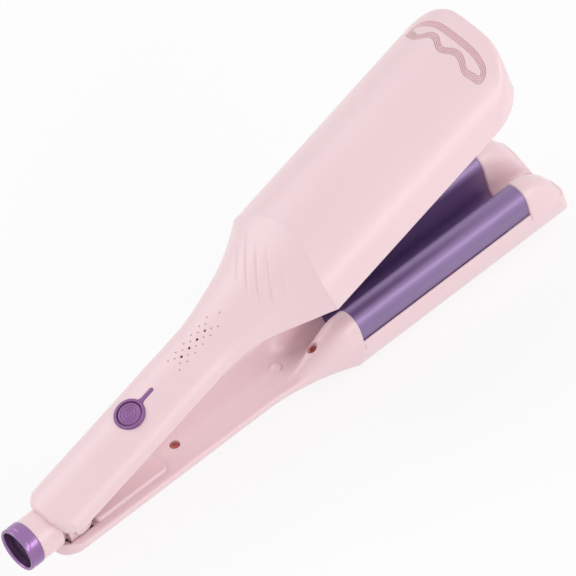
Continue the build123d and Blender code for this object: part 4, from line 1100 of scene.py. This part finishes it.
# %% Room for the ears
ROOM_LENGTH, ROOM_INNER, ROOM_OUTER = 6.9, 7.0, 10.8
WELL_LIP, WELL_FLOOR = -6.2, -9.6
middle = np.abs(tray_grid[:-1, :-1] + tray_grid[1:, 1:]) / 2
in_room = middle[..., 0] < ROOM_LENGTH
in_room &= (middle[..., 1] > ROOM_INNER) & (middle[..., 1] < ROOM_OUTER)
near_pin = tray_grid[np.abs(tray_grid[:, tray_grid.shape[1] // 2, 0]).argmin()]
well_section = near_pin[np.argsort(near_pin[:, 1]), 1:].T


def ear_well(side):
    """Well with a floor, as rings of its rectangle: along the face, down, and wider below it."""
    face = np.interp([ROOM_INNER, ROOM_OUTER], *well_section)
    lip, floor = np.minimum(WELL_LIP, face - 0.6), (WELL_FLOOR, WELL_FLOOR)
    sheet = []
    for wider, (inner, outer) in ((0.55, face + 0.03), (0.0, face - 0.35), (0.0, lip),
                                  (1.2, lip), (1.2, floor)):
        left, right = -ROOM_LENGTH - wider, ROOM_LENGTH + min(wider, 0.8)
        low, high = side * (ROOM_INNER - min(wider, 0.2)), side * (ROOM_OUTER + min(wider, 0.1))
        sheet.append([(left, low, inner), (right, low, inner), (right, high, outer),
                      (left, high, outer), (left, low, inner)])
    sheet.append([(-1, side * 9, WELL_FLOOR)] * 5)
    return np.array(sheet, float)


# %% Lower body
body_sheets = [tray_grid, nose_grid, band, band[:, ::-1] * [1, -1, 1], outer_grid[:, ::-1]]
# The screw wells are painted darker, as shade, by hollow values of 0.9 inside them.
make_piece("lower_body", body_sheets, lower_place, "lower_arm", "pink_plastic",
           ["lower_frame", "lower_cover"], smooth=50, keep=~in_room, hollow=0.9 * well)

# %% [markdown]
# ## Hinge block
# The platform and the knuckles of the hinge are plain moulded blocks with small soft edges. A
# rounded block is a stack of rings: the plan outline goes straight up, then shrinks through a
# quarter circle, and closes over the top. Knuckles are turned shapes on the pin's axis.

# %% Rounded blocks
def plan_ring(half_x, half_y, corner):
    """Rounded rectangle round the origin: a quarter circle at each of its four corners."""
    turn = np.linspace(0, math.pi / 2, 8)
    corners = []
    for number, (sx, sy) in enumerate([(1, 1), (-1, 1), (-1, -1), (1, -1)]):
        angle = turn + number * math.pi / 2
        corners.append(np.stack([sx * (half_x - corner) + corner * np.cos(angle),
                                 sy * (half_y - corner) + corner * np.sin(angle)], -1))
    ring = np.concatenate(corners)
    return np.concatenate([ring, ring[:1]])


def block(low, high, corner, edge):
    """Rings of a block: up the sides, round the top edge by a quarter circle, and to its middle."""
    centre = (np.array(low[:2]) + np.array(high[:2])) / 2
    half = (np.array(high[:2]) - np.array(low[:2])) / 2
    turn = np.linspace(0, math.pi / 2, 6)
    inset = np.concatenate([[0], edge * (1 - np.cos(turn)), [min(half)]])
    levels = np.concatenate([[low[2]], high[2] - edge + edge * np.sin(turn), [high[2]]])
    rings = []
    for shrink, z in zip(inset, levels):
        ring = plan_ring(half[0] - shrink, half[1] - shrink, max(0.0, corner - shrink))
        rings.append(np.concatenate([ring + centre, np.full((len(ring), 1), z)], 1))
    return np.stack(rings)[:, ::-1]


# %% Hinge block piece
blocks = [block((9, -11.4, -9), (50, 11.4, -2.6), 2.0, 1.0),
          block((-9.1, -7, -12), (-5, 7, 0), 0.8, 0.6),
          block((-9.1, -7, -12), (10.5, 7, -5.5), 0.8, 0.3)]
for side in SIDES:
    low, high = sorted((side * 4.2, side * 7.0))
    blocks.append(block((-5.2, low, -12), (4.8, high, 0), 0.4, 0.3))
    profile = rounded([(low, 1.9), (low, 4.9), (high, 4.9), (high, 1.9)], 0.35)
    blocks.append(lathe(profile, "Y", steps=64))
make_piece("hinge_block", blocks, lower_place, "lower_arm", "pink_plastic", ["lower_frame"],
           outward=True)
make_piece("ear_wells", [ear_well(1), ear_well(-1)[:, ::-1]], lower_place, "lower_arm",
           "pink_plastic", ["lower_frame"])

# %% [markdown]
# ## Wave plates
# Both plates are sheets of the same wave, an even distance apart when the arms close. The face
# that touches the hair is coated; its ends and long edges are broken by a small radius, which
# draws the thin bright line round a real plate.

# %% Plates
PLATE_GAP, PLATE_WALL = 1.5, 1.5
PLATE_RIDGE, PLATE_VALLEY, PLATE_FOOT = 7.2, 6.5, 22.2
END_STEPS = [(0.08, 1.8), (0.09, 0.16), (0.13, 0.07), (0.2, 0.02), (0.28, 0.0)]


def plate_sheet(upper, edge_level):
    """Wave of the lower plate's face, or of the upper one's at the gap above it. Both ends are
    shrunk into their plate in small steps, and the lower plate's long edges turn down."""
    way = np.linspace(PLATE_START + 0.6, PLATE_END - 0.6, 60)
    plan = [(PLATE_START + step, drop) for step, drop in END_STEPS]
    plan += [(x, 0.0) for x in way] + [(PLATE_END - step, drop) for step, drop in END_STEPS[::-1]]
    x, drop = np.array(plan).T[..., None]
    outwards = PLATE_GAP + drop if upper else -drop
    foot = PLATE_FOOT + outwards
    half = wave_half(RIDGE_Y + 0 * x, RIDGE_Z + 0 * x, PLATE_RIDGE + outwards,
                     VALLEY_Z + 0 * x, PLATE_VALLEY - outwards, foot, BOWL_LEVEL + 0 * x)
    near_end = np.stack([foot[:, 0], 0 * foot[:, 0] + edge_level], -1)
    foot_end = near_end if upper else near_end - [0.12, 0.2]
    half = np.concatenate([foot_end[:, None], near_end[:, None],
                           straight(near_end, half[:, 0], 6), half], 1)
    sheet = at_x(x, mirrored(half))
    return sheet[:, ::-1] if upper else sheet


for arm, sheet, place in (("lower", plate_sheet(False, -0.52), lower_place),
                          ("upper", plate_sheet(True, -0.1), upper_place)):
    make_piece(arm + "_wave_plate", [sheet], place, arm + "_arm", "purple_plate",
               [arm + "_plate"], smooth=50, wall=PLATE_WALL)

# %% Screws of the lower arm
head = rounded([(0.0, 0.0), (0.0, 2.05), (0.75, 2.05), (1.0, 1.3), (1.0, 0.95), (0.35, 0.7),
                (0.35, 0.0)], [0.01, 0.1, 0.3, 0.2, 0.12, 0.1, 0.01])
shank = rounded([(-4.6, 0.0), (-4.6, 0.6), (-4.2, 1.15), (0.1, 1.15), (0.1, 0.0)],
                [0.01, 0.1, 0.1, 0.05, 0.01])
screw_sheets = []
for (x, y, floor_level), sunk in zip(SCREWS, (0.2, 0.1, 0.1)):
    seat = (x, y, floor_level - sunk)
    screw_sheets += [lathe(head, "Z", seat, 48), lathe(shank, "Z", seat, 32)]
make_piece("tray_screws", screw_sheets, lower_place, "lower_arm", "screw_steel",
           ["lower_screws"], outward=True)

# %% [markdown]
# ## Light
# A product like this is lit by large soft boxes: a long one low on the near side, which lays a
# broad sheen along the crown and a bright line on the wave, a weaker one opposite, and an even
# surround. The floor is plain and pale. Camera, metal and glass see both floor and surround
# white, while the light that falls on the object is held lower, at a level at which its colours
# come out as they were written.

# %% Floor and surround
def seen_straight(nodes):
    """1 for rays that come from the camera, a mirror or glass, and 0 for all others: the
    maximum of the three kinds."""
    camera, mirror, glass = [nodes.node("ShaderNodeLightPath", {}, {}, f"Is {kind} Ray")
                             for kind in ("Camera", "Glossy", "Transmission")]
    return camera.maths("MAXIMUM", camera, camera.maths("MAXIMUM", mirror, glass))


FLOOR_GLOW, SURROUND_LIGHT = 0.8, 0.79
floor_tree = Tree("pale_floor", Roughness=0.8)
floor_tree.set(Base_Color=floor_tree.mix(floor_tree.noise(3, 2), colour(250, 249, 250),
                                         colour(247, 246, 247)))
plane = bpy.data.meshes.new("floor")
plane.from_pydata([(-20, -20, 0), (20, -20, 0), (20, 20, 0), (-20, 20, 0)], [], [(0, 1, 2, 3)])
floor = bpy.data.objects.new("floor", plane)
bpy.context.scene.collection.objects.link(floor)
plane.materials.append(floor_tree.material)
glow = floor_tree.node("ShaderNodeEmission", {}, {"Color": (1, 1, 1, 1), "Strength": 1.0})
plain = Term(floor_tree, floor_tree.shader.outputs[0])
sockets = {0: seen_straight(floor_tree) * FLOOR_GLOW, 1: plain, 2: glow}
blend = floor_tree.node("ShaderNodeMixShader", {}, sockets)
floor_tree.feed(floor_tree.output.inputs["Surface"], blend)

world = bpy.data.worlds.new("surround")
bpy.context.scene.world = world
world.use_nodes = True
surround = world.node_tree.nodes["Background"]
surround.inputs["Color"].default_value = (1.0, 0.985, 0.985, 1)
world_nodes = Nodes(world.node_tree)
strength = SURROUND_LIGHT + (1 - SURROUND_LIGHT) * seen_straight(world_nodes)
world_nodes.feed(surround.inputs["Strength"], strength)
print("surround lights with", SURROUND_LIGHT)

# %% Soft boxes
def soft_box(name, place, target, size, power):
    """Rectangular area lamp at place that looks at target; size is its width and its depth."""
    lamp = bpy.data.lights.new(name, "AREA")
    lamp.shape, lamp.size, lamp.size_y, lamp.energy = "RECTANGLE", *size, power
    holder = bpy.data.objects.new(name, lamp)
    bpy.context.scene.collection.objects.link(holder)
    holder.location = place
    holder.rotation_mode = "QUATERNION"
    holder.rotation_quaternion = (Vector(target) - Vector(place)).to_track_quat("-Z", "Y")
    print(name, "of", power, "watts")


soft_box("long_key", (0.45, -1.0, 0.72), (0.02, 0, 0.05), (1.8, 0.3), 5.2)
soft_box("left_fill", (-0.5, 0.9, 0.7), (0, 0, 0.05), (1.0, 0.7), 3.0)

# %% [markdown]
# ## Camera
# The view is nearly parallel: a long lens far away keeps the two arms from tapering. The object
# is seen turned, tilted and rolled, so the camera's axes are worked out from those three angles,
# with one direction along the arms and one over them.

# %% Camera
TURN, TILT = math.radians(21), math.radians(54)
ROLL_COS, ROLL_SIN = 0.7976, 0.6032
MM_ACROSS, AIM_ALONG, AIM_OVER = 252.63, 137.8, 20.2
DISTANCE, SENSOR = 10.0, 36
along = np.array([math.cos(TURN), -math.sin(TURN) * math.cos(TILT),
                  math.sin(TURN) * math.sin(TILT)])
over = np.array([0, math.sin(TILT), math.cos(TILT)])
towards = np.cross(along, over)
right = ROLL_COS * along - ROLL_SIN * over
up = ROLL_SIN * along + ROLL_COS * over
aim = PIN + (AIM_ALONG * along + AIM_OVER * over) * 0.001
eye = aim + towards * DISTANCE
lens = bpy.data.cameras.new("camera")
lens.sensor_width = SENSOR
lens.lens = DISTANCE * SENSOR / (MM_ACROSS * 0.001)
lens.clip_start, lens.clip_end = 1.0, 40.0
camera = bpy.data.objects.new("camera", lens)
bpy.context.scene.collection.objects.link(camera)
axes = Matrix([list(right) + [0], list(up) + [0], list(towards) + [0], [0, 0, 0, 1]]).transposed()
axes.translation = Vector(eye)
camera.matrix_world = axes
bpy.context.scene.camera = camera
bpy.context.scene.view_settings.view_transform = "Standard"
print("camera looks from", np.round(towards, 3))
